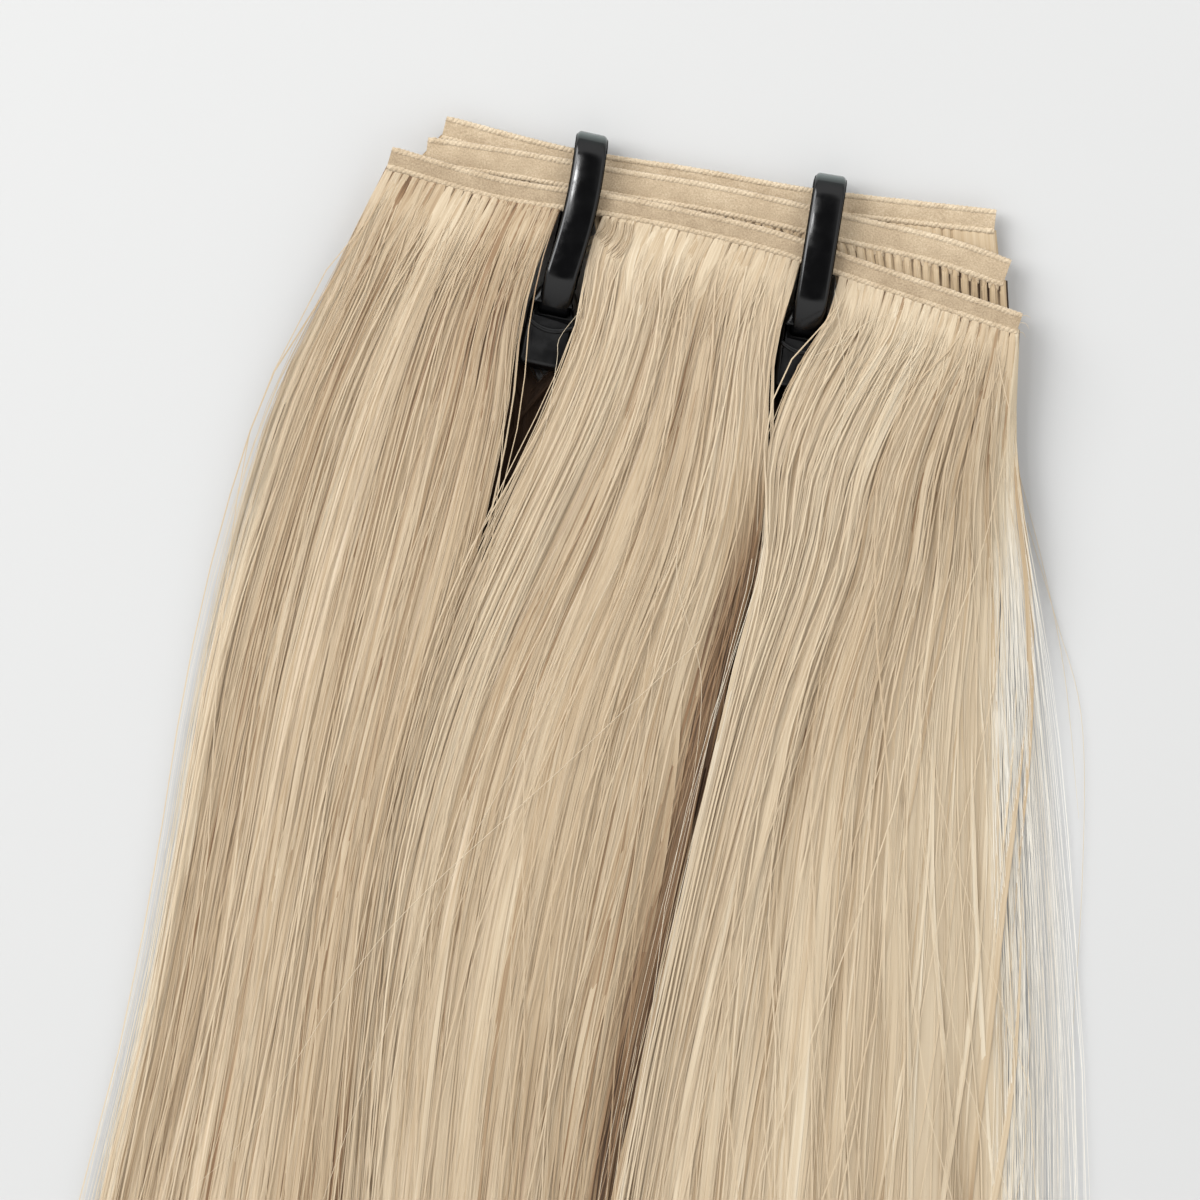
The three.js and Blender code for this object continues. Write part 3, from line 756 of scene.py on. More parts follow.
def clump_field(weft, lock, across, levels, tufts, seed):
    """How deep the furrows between a lock's clumps are, in mm, and the tone of its hair with its painted
    shade and light, row by row.
    """
    side = across[None, :]
    down = levels[:, None]
    settled = smooth_step(down, *CLUMP_LEVELS)
    depth = np.zeros((len(levels), len(across)))
    left_shade, right_shade = LOCK_SHADES[lock]
    root_shade, low_shade = WEFT_SHADES[weft]
    # painted shade where a lower weft lies under the one above, and darker roots
    shade = root_shade + (low_shade - root_shade) * smooth_step(down, *SHADE_STARTS)
    shade = shade * (1 - smooth_step(down, *SHADE_ENDS))
    # painted shade on the top of the left lock near the track
    shade = shade + LOCK_ROOT_SHADES[lock] * (1 - smooth_step(down, *ROOT_SHADE_LEVELS))
    # painted shade beside the partings, and painted light at the right lock's edges
    side_shade = left_shade * (1 - smooth_step(side, *LEFT_SHADE_ZONE))
    side_shade = side_shade + right_shade * smooth_step(side, *RIGHT_SHADE_ZONES[lock])
    tone = LOCK_TONES[lock] - shade - smooth_step(down, *SIDE_SHADE_LEVELS) * side_shade
    for number, (count, furrow, dark, length) in enumerate(CLUMPS):
        draw = seed * 10 + number
        wobble = lattice_noise(side * count * WOBBLE_PITCH, down / length, draw)
        place = side * count + CLUMP_WOBBLE * wobble
        cell = np.floor(place).astype(int)
        rim = np.abs(2 * (place - cell) - 1) ** RIM_POWER
        cells = count + SPARE_CLUMPS
        own = np.random.default_rng(draw + OWN_DRAWS).random(cells)[cell % cells] - 0.5
        swell = down / length * PARTED_STRETCH
        parted = lattice_noise(side * count * PARTED_PITCH, swell, draw + PARTED_DRAWS)
        parted = smooth_step(parted, *PARTED_RANGE) * settled
        depth += furrow * parted * (rim + OWN_DEPTH * own + MEAN_DEPTH)
        # painted shade darkens the furrows, and own gives each clump its own tone
        tone = tone - dark * parted * (rim ** 2 + OWN_TONE * own)
    # soft changes of tone, partly painted sheen and shade
    for number, (count, length, strength) in enumerate(PATCHES):
        draw = seed * 10 + number + PATCH_DRAWS
        tone = tone + strength * (lattice_noise(side * count, down / length, draw) - 0.5)
    # the gaps between the tufts are deeper, and painted darker as shade
    tuft = side * tufts
    gap = np.abs(2 * (tuft - np.floor(tuft)) - 1) ** TUFT_SHARPNESS[weft]
    gap = gap * (1 - smooth_step(down, *TUFT_LEVELS))
    return depth + TUFT_GAP * gap, np.clip(tone - TUFT_SHADES[weft] * gap, 0, 1)


SWAY = (  # how hair wanders inside a lock: swells across it, their length in mm and share of its width
    (3.0, 90.0, 0.05),
    (9.0, 55.0, 0.03),
)
SWAY_LEVELS = (3.0, 30.0)  # distances down the hair between which that begins
# Where the outer edges thin out, across the lock and down the hair, and by what share
EDGE_FALL = {"left": (0.12, -SIDE_MARGIN), "right": (0.955, 1 + SIDE_MARGIN)}
EDGE_LEVELS = (25.0, 60.0)
EDGE_THINNING = 0.9
ROOT_THICKNESS = 0.3
LEAST_HEIGHT = 0.2
TOP_SOFTENING, TIE_SOFTENING = 3, 2  # passes


def lock_surface(weft, lock, tree, tufts, seed):
    """A lock's upper surface in rows of points in mm, the height of its underside, and its tone."""
    levels = level_at(np.linspace(0, 1, SURFACE_ROWS))
    across = np.linspace(-SIDE_MARGIN, 1 + SIDE_MARGIN, SURFACE_COLUMNS[weft])
    side = across[None, :]
    down = levels[:, None]
    x, y = lock_plan(weft, lock, across, levels)
    free = smooth_step(down, *SWAY_LEVELS) * np.clip(4 * side * (1 - side), 0, 1)
    width = (x[:, -1] - x[:, 0])[:, None]
    for number, (count, length, share) in enumerate(SWAY):
        noise = lattice_noise(side * count, down / length, seed * 10 + number + SWAY_DRAWS) - 0.5
        x = x + width * share * noise * free
    root = track_level(weft)
    top = softened(bridged(solid_heights(tree, x, y), levels, root), TOP_SOFTENING)
    under = bridged(solid_heights(tree, x, y, from_below=True), levels, root - ROOT_THICKNESS)
    depth, tone = clump_field(weft, lock, across, levels, tufts, seed)
    top = top - depth
    if weft == "front":
        top = top - DIP[lock] * (smooth_step(side, *DIP_ACROSS) * smooth_step(down, *DIP_LEVELS))
        top = top + softened(over_ties(x, y, top) - top, TIE_SOFTENING) * RISE_MADE_GOOD
    if lock in EDGE_FALL:
        fall = smooth_step(side, *EDGE_FALL[lock]) * smooth_step(down, *EDGE_LEVELS)
        top = top * (1 - EDGE_THINNING * fall)
    return np.stack([x, y, np.maximum(top, LEAST_HEIGHT)], axis=2), under, tone


def grid_faces(rows, columns, flip=False):
    """Quads of a grid of points whose rows run down the hair and whose columns run to the right."""
    faces = []
    for row in range(rows - 1):
        for column in range(columns - 1):
            here = row * columns + column
            face = (here, here + columns, here + columns + 1, here + 1)
            faces.append(face[::-1] if flip else face)
    return faces


def surface_mesh(points, tone):
    """A lock's surface as a mesh, with its rows and columns as a map and its tone."""
    rows, columns, _ = points.shape
    mesh = bpy.data.meshes.new("lock_surface")
    mesh.from_pydata(in_part(points.reshape(-1, 3)).tolist(), [], grid_faces(rows, columns))
    layer = mesh.uv_layers.new(name="lock")
    for loop in mesh.loops:
        row, column = divmod(loop.vertex_index, columns)
        layer.data[loop.index].uv = (column / (columns - 1), row / (rows - 1))
    mesh.attributes.new("tone", "FLOAT", "POINT").data.foreach_set("value", tone.ravel())
    return mesh


# The body of a lock: how far it lies under the lock's surface in mm, and inside its left and right edge
CORE_SUNK = 0.03
CORE_INSET = {"left": (0.088, 0.07), "centre": (0.07, 0.07), "right": (0.07, 0.082)}
CORE_ROOT_INSET = SIDE_MARGIN / (1 + 2 * SIDE_MARGIN)  # at the roots, where it ends with the track
CORE_LEVELS = (3.0, 25.0)  # distances down the hair between which it draws in
CORE_CLEARANCE = 0.05  # above what lies below it
CORE_LEAST = 0.1  # its least thickness
# Its clumps at the tips: their width, and how far the shortest end before the longest, in mm
TIP_FRAYS = ((2.6, 20.0), (0.8, 22.0))
TIP_LEVELS = (250.0, 390.0)  # distances down the hair between which their ends draw apart
THIN_LEVELS = (320.0, 390.0)  # and grow thin
TIP_THINNING = 0.75
CORE_SEED = 50


def trimmed(values, left, right):
    """Rows of values drawn in from both ends by shares of their length, row by row."""
    count = values.shape[1]
    at = (left[:, None] + (1 - left - right)[:, None] * np.linspace(0, 1, count)) * (count - 1)
    low = np.minimum(at.astype(int), count - 2)
    part = at - low
    rows = np.arange(len(values))[:, None]
    return values[rows, low] * (1 - part) + values[rows, low + 1] * part


def core_sides(surface, lock_number, seed):
    """The upper and lower points of the body of a lock, row by row, and its tone."""
    points, under, tone = (rows[1:] for rows in surface)
    levels = level_at(np.linspace(0, 1, SURFACE_ROWS))[1:]
    draw_in = smooth_step(levels, *CORE_LEVELS)
    full_insets = CORE_INSET[LOCKS[lock_number]]
    insets = [CORE_ROOT_INSET + (full - CORE_ROOT_INSET) * draw_in for full in full_insets]
    upper = np.stack([trimmed(points[:, :, axis], *insets) for axis in range(3)], axis=2)
    for width, fray in TIP_FRAYS:
        clumps = lattice_noise(upper[-1:, :, 0] / width, lock_number + 0.5, seed)
        upper[:, :, 1] += fray * clumps * smooth_step(levels, *TIP_LEVELS)[:, None]
    lower = upper.copy()
    lower[:, :, 2] = np.maximum(trimmed(under, *insets) + CORE_CLEARANCE, CORE_CLEARANCE)
    thick = np.maximum(upper[:, :, 2] - CORE_SUNK - lower[:, :, 2], CORE_LEAST)
    thick *= 1 - TIP_THINNING * smooth_step(levels, *THIN_LEVELS)[:, None]
    upper[:, :, 2] = lower[:, :, 2] + thick
    return upper, lower, trimmed(tone, *insets)


def closed_faces(rows, columns):
    """Faces of two grids of points, the upper one first, and of the wall round them."""
    count = rows * columns
    faces = grid_faces(rows, columns)
    faces += [tuple(i + count for i in face) for face in grid_faces(rows, columns, flip=True)]
    rim = list(range(columns)) + [r * columns + columns - 1 for r in range(1, rows)]
    rim += [(rows - 1) * columns + c for c in range(columns - 2, -1, -1)]
    rim += [r * columns for r in range(rows - 2, 0, -1)]
    faces += [(here, after, after + count, here + count) for here, after in zip(rim, rim[1:] + rim[:1])]
    return faces


def core_mesh(surfaces, seed):
    """The closed body of a weft's locks, which carries the loose strands."""
    vertices, faces, flow, tones = [], [], [], []
    for lock_number, surface in enumerate(surfaces):
        upper, lower, tone = core_sides(surface, lock_number, seed)
        rows, columns, _ = upper.shape
        base = len(vertices)
        vertices += upper.reshape(-1, 3).tolist() + lower.reshape(-1, 3).tolist()
        lengthwise = np.repeat(np.linspace(0, 1, rows), columns)
        sideways = lock_number + np.tile(np.linspace(0, 1, columns), rows)
        flow += 2 * np.stack([sideways, lengthwise, 0 * lengthwise], axis=1).tolist()
        tones += 2 * tone.ravel().tolist()
        faces += [tuple(i + base for i in face) for face in closed_faces(rows, columns)]
    mesh = bpy.data.meshes.new("hair_core")
    mesh.from_pydata(in_part(vertices).tolist(), [], faces)
    mesh.attributes.new("flow", "FLOAT_VECTOR", "POINT").data.foreach_set("vector", np.ravel(flow))
    mesh.attributes.new("tone", "FLOAT", "POINT").data.foreach_set("value", tones)
    mesh.shade_smooth()
    return mesh


# Ties

STRAP_WIDTH = 3.6
STRAP_THICKNESS = 1.1
STRAP_ROUNDING, STRAP_ROUNDING_STEPS = 0.45, 4
STRAP_CROWN = 0.22  # how much lower the strap is at its edges than in its middle
BEND_NARROWING = 0.16  # the strap's corners round off at the top of its loop, by this share of its width
BEND_LENGTH = 1.3  # from the top of the loop on
BEND_REFLECTION_REACH = 1.4  # painted reflection: the nylon is painted a paler grey-green round the top of the loop, as far as this from the top
TIE_CLEARANCE = 0.4  # hair lies this far above a tie's head
STRAP_LOW = STRAP_THICKNESS / 2
STRAP_HIGH = 5.55  # the middle of the strap where it runs over the tracks
STRAP_ARCH = 0.3  # and how much higher it is half way
STRAP_BOW = 0.5  # the strap bends sideways by this much on its way to the head
BOW_LENGTH = 16.0
STRAP_PLACE = 1.0  # from the head's upper end to the middle of the strap in the mouth
# How the strap leaves the mouth: the distance past it, which is negative before it, and the height
MOUTH_BEND = ((0.0, 1.7), (0.0, 2.6), (-0.1, 3.1), (-0.45, 3.75), (-3.35, 5.3), (-3.5, 5.4), (-3.7, 5.48))
OVER_START = 4.1  # from the mouth to where it runs level over the tracks
OVER_SPAN = (0.04, 0.98)  # the share of that run that its points cover
OVER_STEPS, LOOP_STEPS = 14, 19
UNDER_START, UNDER_END = 0.6, 1.2  # its run under the tracks: from the loop on, and short of the mouth
HEAD_WIDTH = 5.9
HEAD_LENGTH = 7.4
HEAD_HEIGHT = 4.4
SHOULDER_LENGTH = 2.2
NECK_WIDTH = 3.9
MOUTH_WIDTH = 4.4
MOUTH_LENGTH = 1.6
MOUTH_DEPTH = 1.5
MOUTH_RIM = 0.3
MOUTH_POINT = 0.05
MOUTH_NARROWING = 0.4  # towards its pointed side
MOUTH_TAPER, MOUTH_SLOPE = 0.2, 0.4  # how much narrower and shorter it is at its bottom
HEAD_TAPER = 0.2  # how much the head draws in towards its top, at each side,
END_TAPER, NECK_TAPER = 0.3, 0.3  # at its end and at its neck
HEAD_BEVEL, HEAD_BEVEL_STEPS = 0.6, 4
RIM_BEVEL, RIM_BEVEL_STEPS = 0.2, 3
LIP_RADIUS = 0.34
LIP_HALF = 2.5
LIP_BOW = 0.8
LIP_PLACE = 0.35  # past the mouth
LIP_SUNK = 0.1
LIP_SIDES, LIP_STEPS = 10, 17
SHARP_ANGLE = math.radians(40)
TIES = {  # the top of each loop, the distance from there to the middle of its head, its lean and its bow
    "tie_left": ((-0.75, 51.2), 22.9, -12.4, 1.0),
    "tie_right": ((25.35, 46.7), 20.6, -9.2, 0.0),
}


def strap_line(reach):
    """The strap's middle line seen from its side: the distance from the top of the loop, and the height."""
    mouth = reach - HEAD_LENGTH / 2 + STRAP_PLACE
    bend = (STRAP_HIGH - STRAP_LOW) / 2
    line = [(mouth + ahead, height) for ahead, height in MOUTH_BEND]
    line.append((mouth - OVER_START, STRAP_HIGH))
    for share in np.linspace(*OVER_SPAN, OVER_STEPS):
        at = mouth - OVER_START + (bend + STRAP_LOW - mouth + OVER_START) * share
        line.append((at, STRAP_HIGH + STRAP_ARCH * 4 * share * (1 - share)))
    for angle in np.linspace(0, math.pi, LOOP_STEPS):
        away = bend + STRAP_LOW - bend * math.sin(angle)
        line.append((away, STRAP_LOW + bend + bend * math.cos(angle)))
    line += [(bend + STRAP_LOW + UNDER_START, STRAP_LOW), (mouth - UNDER_END, STRAP_LOW)]
    return np.array(line)


def rounded_section(width, height, radius, steps):
    """The outline of a rectangle with round corners, anticlockwise."""
    outline = []
    for corner, (x, y) in enumerate(((1, 1), (-1, 1), (-1, -1), (1, -1))):
        for step in range(steps + 1):
            angle = (corner + step / steps) * math.pi / 2
            outline.append((x * (width / 2 - radius) + radius * math.cos(angle),
                            y * (height / 2 - radius) + radius * math.sin(angle)))
    return np.array(outline)


def add_sweep(bm, line, section):
    """A closed band along a line of (distance, height), with a section of (across, thick) points."""
    ahead = np.gradient(line, axis=0)
    ahead /= np.linalg.norm(ahead, axis=1)[:, None]
    rings = []
    for (distance, height), (run, rise) in zip(line, ahead):
        narrow = 1 - BEND_NARROWING * smooth_step(-distance, -BEND_LENGTH, 0.0) ** 2
        ring = []
        for x, thick in section:
            crowned = thick - STRAP_CROWN * (x / (STRAP_WIDTH / 2)) ** 2 * (1 if thick > 0 else -1)
            ring.append(bm.verts.new((x * narrow, -(distance + rise * crowned), height - run * crowned)))
        rings.append(ring)
    for ring, following in zip(rings, rings[1:]):
        for i in range(len(section)):
            bm.faces.new((ring[i], ring[i - 1], following[i - 1], following[i]))
    bm.faces.new(rings[0])
    bm.faces.new(rings[-1][::-1])


def add_head(bm, reach):
    """The tie's head: a block with sloped shoulders, rounded edges and the mouth that takes the strap."""
    start = reach - HEAD_LENGTH / 2
    end = reach + HEAD_LENGTH / 2

    def ring(width, first, last, height, shoulder, neck):
        """A plan of the head at one height, anticlockwise from its lower left corner."""
        plan = ((-width / 2, last), (width / 2, last), (width / 2, first), (neck / 2, first - shoulder),
                (-neck / 2, first - shoulder), (-width / 2, first))
        return [bm.verts.new((x, -distance, height)) for x, distance in plan]

    mouth_start = start + MOUTH_RIM
    mouth_end = mouth_start + MOUTH_LENGTH
    levels = [
        ring(HEAD_WIDTH, start, end, 0.0, SHOULDER_LENGTH, NECK_WIDTH),
        ring(HEAD_WIDTH - 2 * HEAD_TAPER, start + HEAD_TAPER, end - END_TAPER, HEAD_HEIGHT,
             SHOULDER_LENGTH - HEAD_TAPER, NECK_WIDTH - NECK_TAPER),
        ring(MOUTH_WIDTH, mouth_start, mouth_end, HEAD_HEIGHT, MOUTH_POINT,
             MOUTH_WIDTH - MOUTH_NARROWING),
        ring(MOUTH_WIDTH - MOUTH_TAPER, mouth_start, mouth_end - MOUTH_SLOPE, HEAD_HEIGHT - MOUTH_DEPTH,
             MOUTH_POINT, MOUTH_WIDTH - MOUTH_NARROWING - MOUTH_TAPER),
    ]
    bm.faces.new(levels[0][::-1])
    for low, high in zip(levels, levels[1:]):
        for i in range(len(low)):
            bm.faces.new((low[i - 1], low[i], high[i], high[i - 1]))
    bm.faces.new(levels[-1])
    outer = set(levels[0] + levels[1])
    rim = set(levels[2])
    outer_edges = [edge for edge in bm.edges if set(edge.verts) <= outer]
    bmesh.ops.bevel(
        bm, geom=outer_edges, offset=HEAD_BEVEL, segments=HEAD_BEVEL_STEPS, profile=0.5, affect="EDGES")
    rim_edges = [edge for edge in bm.edges if set(edge.verts) <= rim]
    bmesh.ops.bevel(
        bm, geom=rim_edges, offset=RIM_BEVEL, segments=RIM_BEVEL_STEPS, profile=0.5, affect="EDGES")


def add_lip(bm, reach):
    """The curved lip past the mouth."""
    start = reach - HEAD_LENGTH / 2 + MOUTH_RIM + MOUTH_LENGTH
    angles = np.linspace(0, 2 * math.pi, LIP_SIDES, endpoint=False)
    rings = []
    for x in np.linspace(-LIP_HALF, LIP_HALF, LIP_STEPS):
        distance = start + LIP_PLACE + LIP_BOW * (1 - (x / LIP_HALF) ** 2)
        ring = []
        for angle in angles:
            height = HEAD_HEIGHT - LIP_SUNK + LIP_RADIUS * math.sin(angle)
            ring.append(bm.verts.new((x, -(distance + LIP_RADIUS * math.cos(angle)), height)))
        rings.append(ring)
    for ring, following in zip(rings, rings[1:]):
        for i in range(len(ring)):
            bm.faces.new((ring[i - 1], ring[i], following[i], following[i - 1]))
    bm.faces.new(rings[0][::-1])
    bm.faces.new(rings[-1])


def tie_mesh(name):
    (top_x, top_y), reach, lean, bow = TIES[name]
    bm = bmesh.new()
    add_head(bm, reach)
    add_lip(bm, reach)
    head_count = len(bm.verts)
    section = rounded_section(STRAP_WIDTH, STRAP_THICKNESS, STRAP_ROUNDING, STRAP_ROUNDING_STEPS)
    add_sweep(bm, strap_line(reach), section)
    bmesh.ops.recalc_face_normals(bm, faces=bm.faces)
    # painted reflection: how far each point lies in the paler top of the loop
    bend_reflections = [smooth_step(vertex.co.y, -BEND_REFLECTION_REACH, 0.0) for vertex in bm.verts]
    for vertex in bm.verts:
        down = min(max(-vertex.co.y / BOW_LENGTH, 0.0), 1.0)
        vertex.co.x += bow * STRAP_BOW * math.sin(math.pi * down)
    bm.transform(Matrix.Rotation(math.radians(lean), 4, "Z"))
    for vertex in bm.verts:
        vertex.co = in_part(vertex.co + Vector((top_x, top_y, 0.0)))
    mesh = bpy.data.meshes.new(name)
    bm.to_mesh(mesh)
    bm.free()
    heads = [float(index < head_count) for index in range(len(bend_reflections))]
    for attribute, values in (("bend", bend_reflections), ("head", heads)):
        mesh.attributes.new(attribute, "FLOAT", "POINT").data.foreach_set("value", values)
    mesh.shade_smooth()
    mesh.set_sharp_from_angle(angle=SHARP_ANGLE)
    return mesh


# Drawn hairs, in mm round the view's middle: each a line of points from above
STRAYS = (
    ((-1.9, 31.8), (-4.4, 28.6), (-4.7, 26.0), (-6.0, 18.5), (-8.6, 9.0)),
    ((25.6, 33.8), (26.3, 28.3), (26.7, 21.8), (25.0, 12.0)),
    ((23.4, 26.6), (26.5, 28.2), (29.4, 30.4), (33.0, 31.6)),
    ((10.9, -4.4), (-4.4, -18.5), (-24.0, -37.0), (-38.1, -57.8), (-44.7, -64.3)),
    ((2.0, 4.0), (-6.0, -12.0), (-18.0, -34.0), (-29.0, -62.0), (-36.0, -84.0)),
    ((46.9, 8.5), (50.1, -2.2), (52.9, -13.1), (53.0, -30.0), (51.6, -52.0)),
    ((46.0, 14.0), (48.6, 4.0), (51.0, -8.0), (52.6, -24.0)),
    ((9.0, 12.0), (8.4, 2.0), (11.0, -9.0), (9.6, -24.0)),
)
FRAYS = (  # ends of thread at the top track's right end, with their heights
    ((45.7, 30.9, 4.4), (46.5, 31.1, 4.3), (47.1, 30.8, 4.0)),
    ((45.7, 30.3, 4.4), (46.5, 30.2, 4.2), (46.9, 29.6, 4.1)),
    ((45.5, 29.3, 4.4), (46.2, 29.2, 4.2), (46.5, 28.7, 4.0)),
)
SWIRL_FIRST = ((0.6, 41.7, 4.6), (0.2, 40.7, 4.9), (-0.5, 40.0, 4.8), (-1.4, 39.5, 4.4))
SWIRL_LAST = ((3.5, 41.1, 4.6), (3.0, 38.8, 5.2), (1.2, 36.9, 5.0), (-1.6, 36.0, 4.4))
SWIRL_COUNT = 16  # root hairs beside the left tie, which curl under its strap
SWIRL_JITTER = 0.05
SWIRL_SEED = 5
SWIRL_WIDTH = 0.1 * MM
SWIRL_TONE = 0.42
STRAY_POINTS = 25
STRAY_LIFT = 0.9  # how far they lie above the hair
TABLE_LIFT = 0.3  # or above the table


def over_all(x, y):
    """Heights just above the hair and the ties, or above the table beside them."""
    found = np.full(x.shape, TABLE_LIFT - STRAY_LIFT)
    for node in ("hair_front", *TIES):
        found = np.fmax(found, solid_heights(solid_tree(node), x, y))
    edged = np.pad(found, 1, mode="edge")
    highest = np.maximum(np.maximum(edged[:-2], edged[2:]), found)
    edged = np.pad(highest, 1, mode="edge")
    return (edged[:-2] + 2 * highest + edged[2:]) / 4 + STRAY_LIFT


def stray_lines():
    """Each stray hair and end of thread as a line of points with heights."""
    lines = [np.array(line) for line in FRAYS]
    for line in STRAYS:
        steps = np.arange(len(line), dtype=float)
        x, y = smooth_rows(steps, np.array(line), np.linspace(0, steps[-1], STRAY_POINTS)).T
        lines.append(np.stack([x, y, over_all(x, y)], axis=1))
    return lines


def swirl_lines():
    """The curled root hairs, as lines of points with heights."""
    draw = np.random.default_rng(SWIRL_SEED)
    shares = np.linspace(0, 1, SWIRL_COUNT) + draw.uniform(-SWIRL_JITTER, SWIRL_JITTER, SWIRL_COUNT)
    first, last = np.array(SWIRL_FIRST), np.array(SWIRL_LAST)
    return [first * (1 - share) + last * share for share in shares]


def line_mesh(lines):
    vertices, edges = [], []
    for line in lines:
        start = len(vertices)
        vertices += line.tolist()
        edges += [(i, i + 1) for i in range(start, len(vertices) - 1)]
    mesh = bpy.data.meshes.new("lines")
    mesh.from_pydata(in_part(vertices).tolist(), edges, [])
    return mesh


TRACK_END_INSET = 0.3
TRACK_STEPS = 60
TRACK_HEIGHTS = {"back": 2.8, "middle": 3.3, "front": 2.6}  # as they show from above
CORD_TONES = {"back": 0.7, "middle": 0.65, "front": 0.5}
BAND_TONES = {"back": 0.4, "middle": 0.28, "front": 0.0}


def track_line_mesh(weft):
    """The middle line of a weft's track, from its left end to its right."""
    left, right = TRACK_POINTS[weft][0][0], TRACK_POINTS[weft][-1][0]
    x = np.linspace(left + TRACK_END_INSET, right - TRACK_END_INSET, TRACK_STEPS)
    y = track_y(weft, x)
    points = np.stack([x, y, np.full(TRACK_STEPS, track_level(weft))], axis=1)
    mesh = bpy.data.meshes.new("track_line")
    mesh.from_pydata(in_part(points).tolist(), [(i, i + 1) for i in range(TRACK_STEPS - 1)], [])
    return mesh


# Materials

def new_material(name, **constants):
    """A material, the wire that builds its nodes, and its Principled shader with these constants."""
    material = bpy.data.materials.new(name)
    material.use_nodes = True
    tree = material.node_tree
    shader = tree.nodes["Principled BSDF"]
    for socket, value in constants.items():
        shader.inputs[socket.replace("_", " ")].default_value = value
    return material, Wire(tree), shader


def feed(wire, shader, socket, value):
    wire.tree.links.new(value.socket, shader.inputs[socket])


# Colours of the hair from its darkest tone to its palest: of the top weft, of those below and of loose hairs
HAIR_TONES = [
    (0.0, srgb(88, 65, 46)), (0.1, srgb(134, 104, 74)), (0.3, srgb(179, 157, 127)),
    (0.6, srgb(203, 186, 159)), (1.0, srgb(230, 223, 206)),
]
# painted shade: the lower wefts' darkest tones stand for the shade they lie in under the top weft
LOWER_TONES = [(0.0, srgb(50, 37, 28)), (0.12, srgb(58, 43, 32)), *HAIR_TONES[2:]]
# painted light: loose hairs are paler for the table's light showing through them
FRINGE_TONES = [(0.0, srgb(150, 126, 98)), (0.55, srgb(203, 187, 160)), (0.95, srgb(234, 231, 222))]
THREAD_TONES = [(0.2, srgb(154, 134, 108)), (0.55, srgb(184, 164, 136)), (0.9, srgb(212, 195, 168))]
NYLON_TONES = [(0.0, (0.0025, 0.0025, 0.0028, 1.0)), (1.0, (0.10, 0.125, 0.12, 1.0))]  # flat, and the painted reflection round the top of the loop
HAIR_IOR = 1.55
HAIR_GLOSS, LOWER_GLOSS = 0.5, 0.05
STREAKS = ((260.0, 5.0, 0.2), (95.0, 4.0, 0.36))  # how many lie across and along a lock, and their weight
STREAK_SHIFT = 7.0
STREAK_RELIEF, FUZZ_RELIEF, SCRATCH_RELIEF = (0.35, 0.0001), (0.8, 0.0001), (0.05, 0.00005)  # strength, m
FUZZ_SCALE, CLOUD_SCALE = 5200.0, 420.0  # swells of the thread's fuzz in a metre, and of its changes of tone
CLOUD_WEIGHT, THREAD_WEIGHT = 0.5, 0.5  # of those changes, and of each thread's own tone
THREAD_TONE = 0.35
WEAR_SCALE = 900.0
WEAR_RANGE, NYLON_ROUGHNESS = (0.3, 0.7), (0.12, 0.2)  # the least and most worn nylon, and how rough it is
HEAD_ROUGHER = 0.16
SCRATCH_SCALE = (2600.0, 500.0, 900.0)


def strand_material(name, tones, gloss):
    """Blonde hair: each strand has its own tone, which carries the painted shade and light of its lock."""
    material, wire, shader = new_material(
        name, Roughness=0.4, IOR=HAIR_IOR, Specular_IOR_Level=gloss)
    feed(wire, shader, "Base Color", wire.ramp(tones, wire.attribute("tone")))
    return material


def core_material(name, tones, gloss):
    """The hair of a lock in the tone of its clumps with their painted shade, fine streaks along it and a
    satin relief.
    """
    material, wire, shader = new_material(
        name, Roughness=0.42, IOR=HAIR_IOR, Specular_IOR_Level=gloss)
    flow = wire.attribute("flow", "Vector")
    fine = 0.0
    for number, (across, along, weight) in enumerate(STREAKS):
        stretched = wire.node("ShaderNodeMapping", None, {
            "Vector": flow, "Scale": (across, along, 1.0), "Location": (STREAK_SHIFT * number, 0.0, 0.0)})
        fine = fine + (wire.noise(stretched, dimensions="2D") - 0.5) * weight
    feed(wire, shader, "Base Color", wire.ramp(tones, wire.attribute("tone") + fine))
    feed(wire, shader, "Normal", wire.bump(fine, *STREAK_RELIEF))
    return material


def thread_material():
    """The sewn thread of the tracks: matt, fuzzy and paler on its crests."""
    material, wire, shader = new_material(
        "sewn_thread", Roughness=0.85, Sheen_Weight=0.25, Sheen_Roughness=0.5)
    place = wire.node("ShaderNodeTexCoord", None, None, "Object")
    fuzz = wire.noise(place, FUZZ_SCALE, 3.0, 0.65)
    cloud = wire.noise(place, CLOUD_SCALE, 2.0)
    tone = fuzz - 0.5 + (cloud - 0.5) * CLOUD_WEIGHT + wire.attribute("tone") * THREAD_WEIGHT + THREAD_TONE
    feed(wire, shader, "Base Color", wire.ramp(THREAD_TONES, tone))
    feed(wire, shader, "Normal", wire.bump(fuzz, *FUZZ_RELIEF))
    return material


def nylon_material():
    """Glossy black nylon with fine wear, duller on a tie's head, and painted a paler grey-green round the top
    of the loop as a reflection.
    """
    material, wire, shader = new_material("black_nylon", IOR=1.5)
    # painted reflection: black, turning to a paler grey-green round the top of the loop
    feed(wire, shader, "Base Color", wire.ramp(NYLON_TONES, wire.attribute("bend")))
    place = wire.node("ShaderNodeTexCoord", None, None, "Object")
    wear = wire.noise(place, WEAR_SCALE, 3.0)
    roughness = wear.step(*WEAR_RANGE, *NYLON_ROUGHNESS) + wire.attribute("head") * HEAD_ROUGHER
    feed(wire, shader, "Roughness", roughness)
    scratched = wire.node("ShaderNodeMapping", None, {"Vector": place, "Scale": SCRATCH_SCALE})
    feed(wire, shader, "Normal", wire.bump(wire.noise(scratched, 1.0, 2.0), *SCRATCH_RELIEF))
    return material


# Stage, light and camera

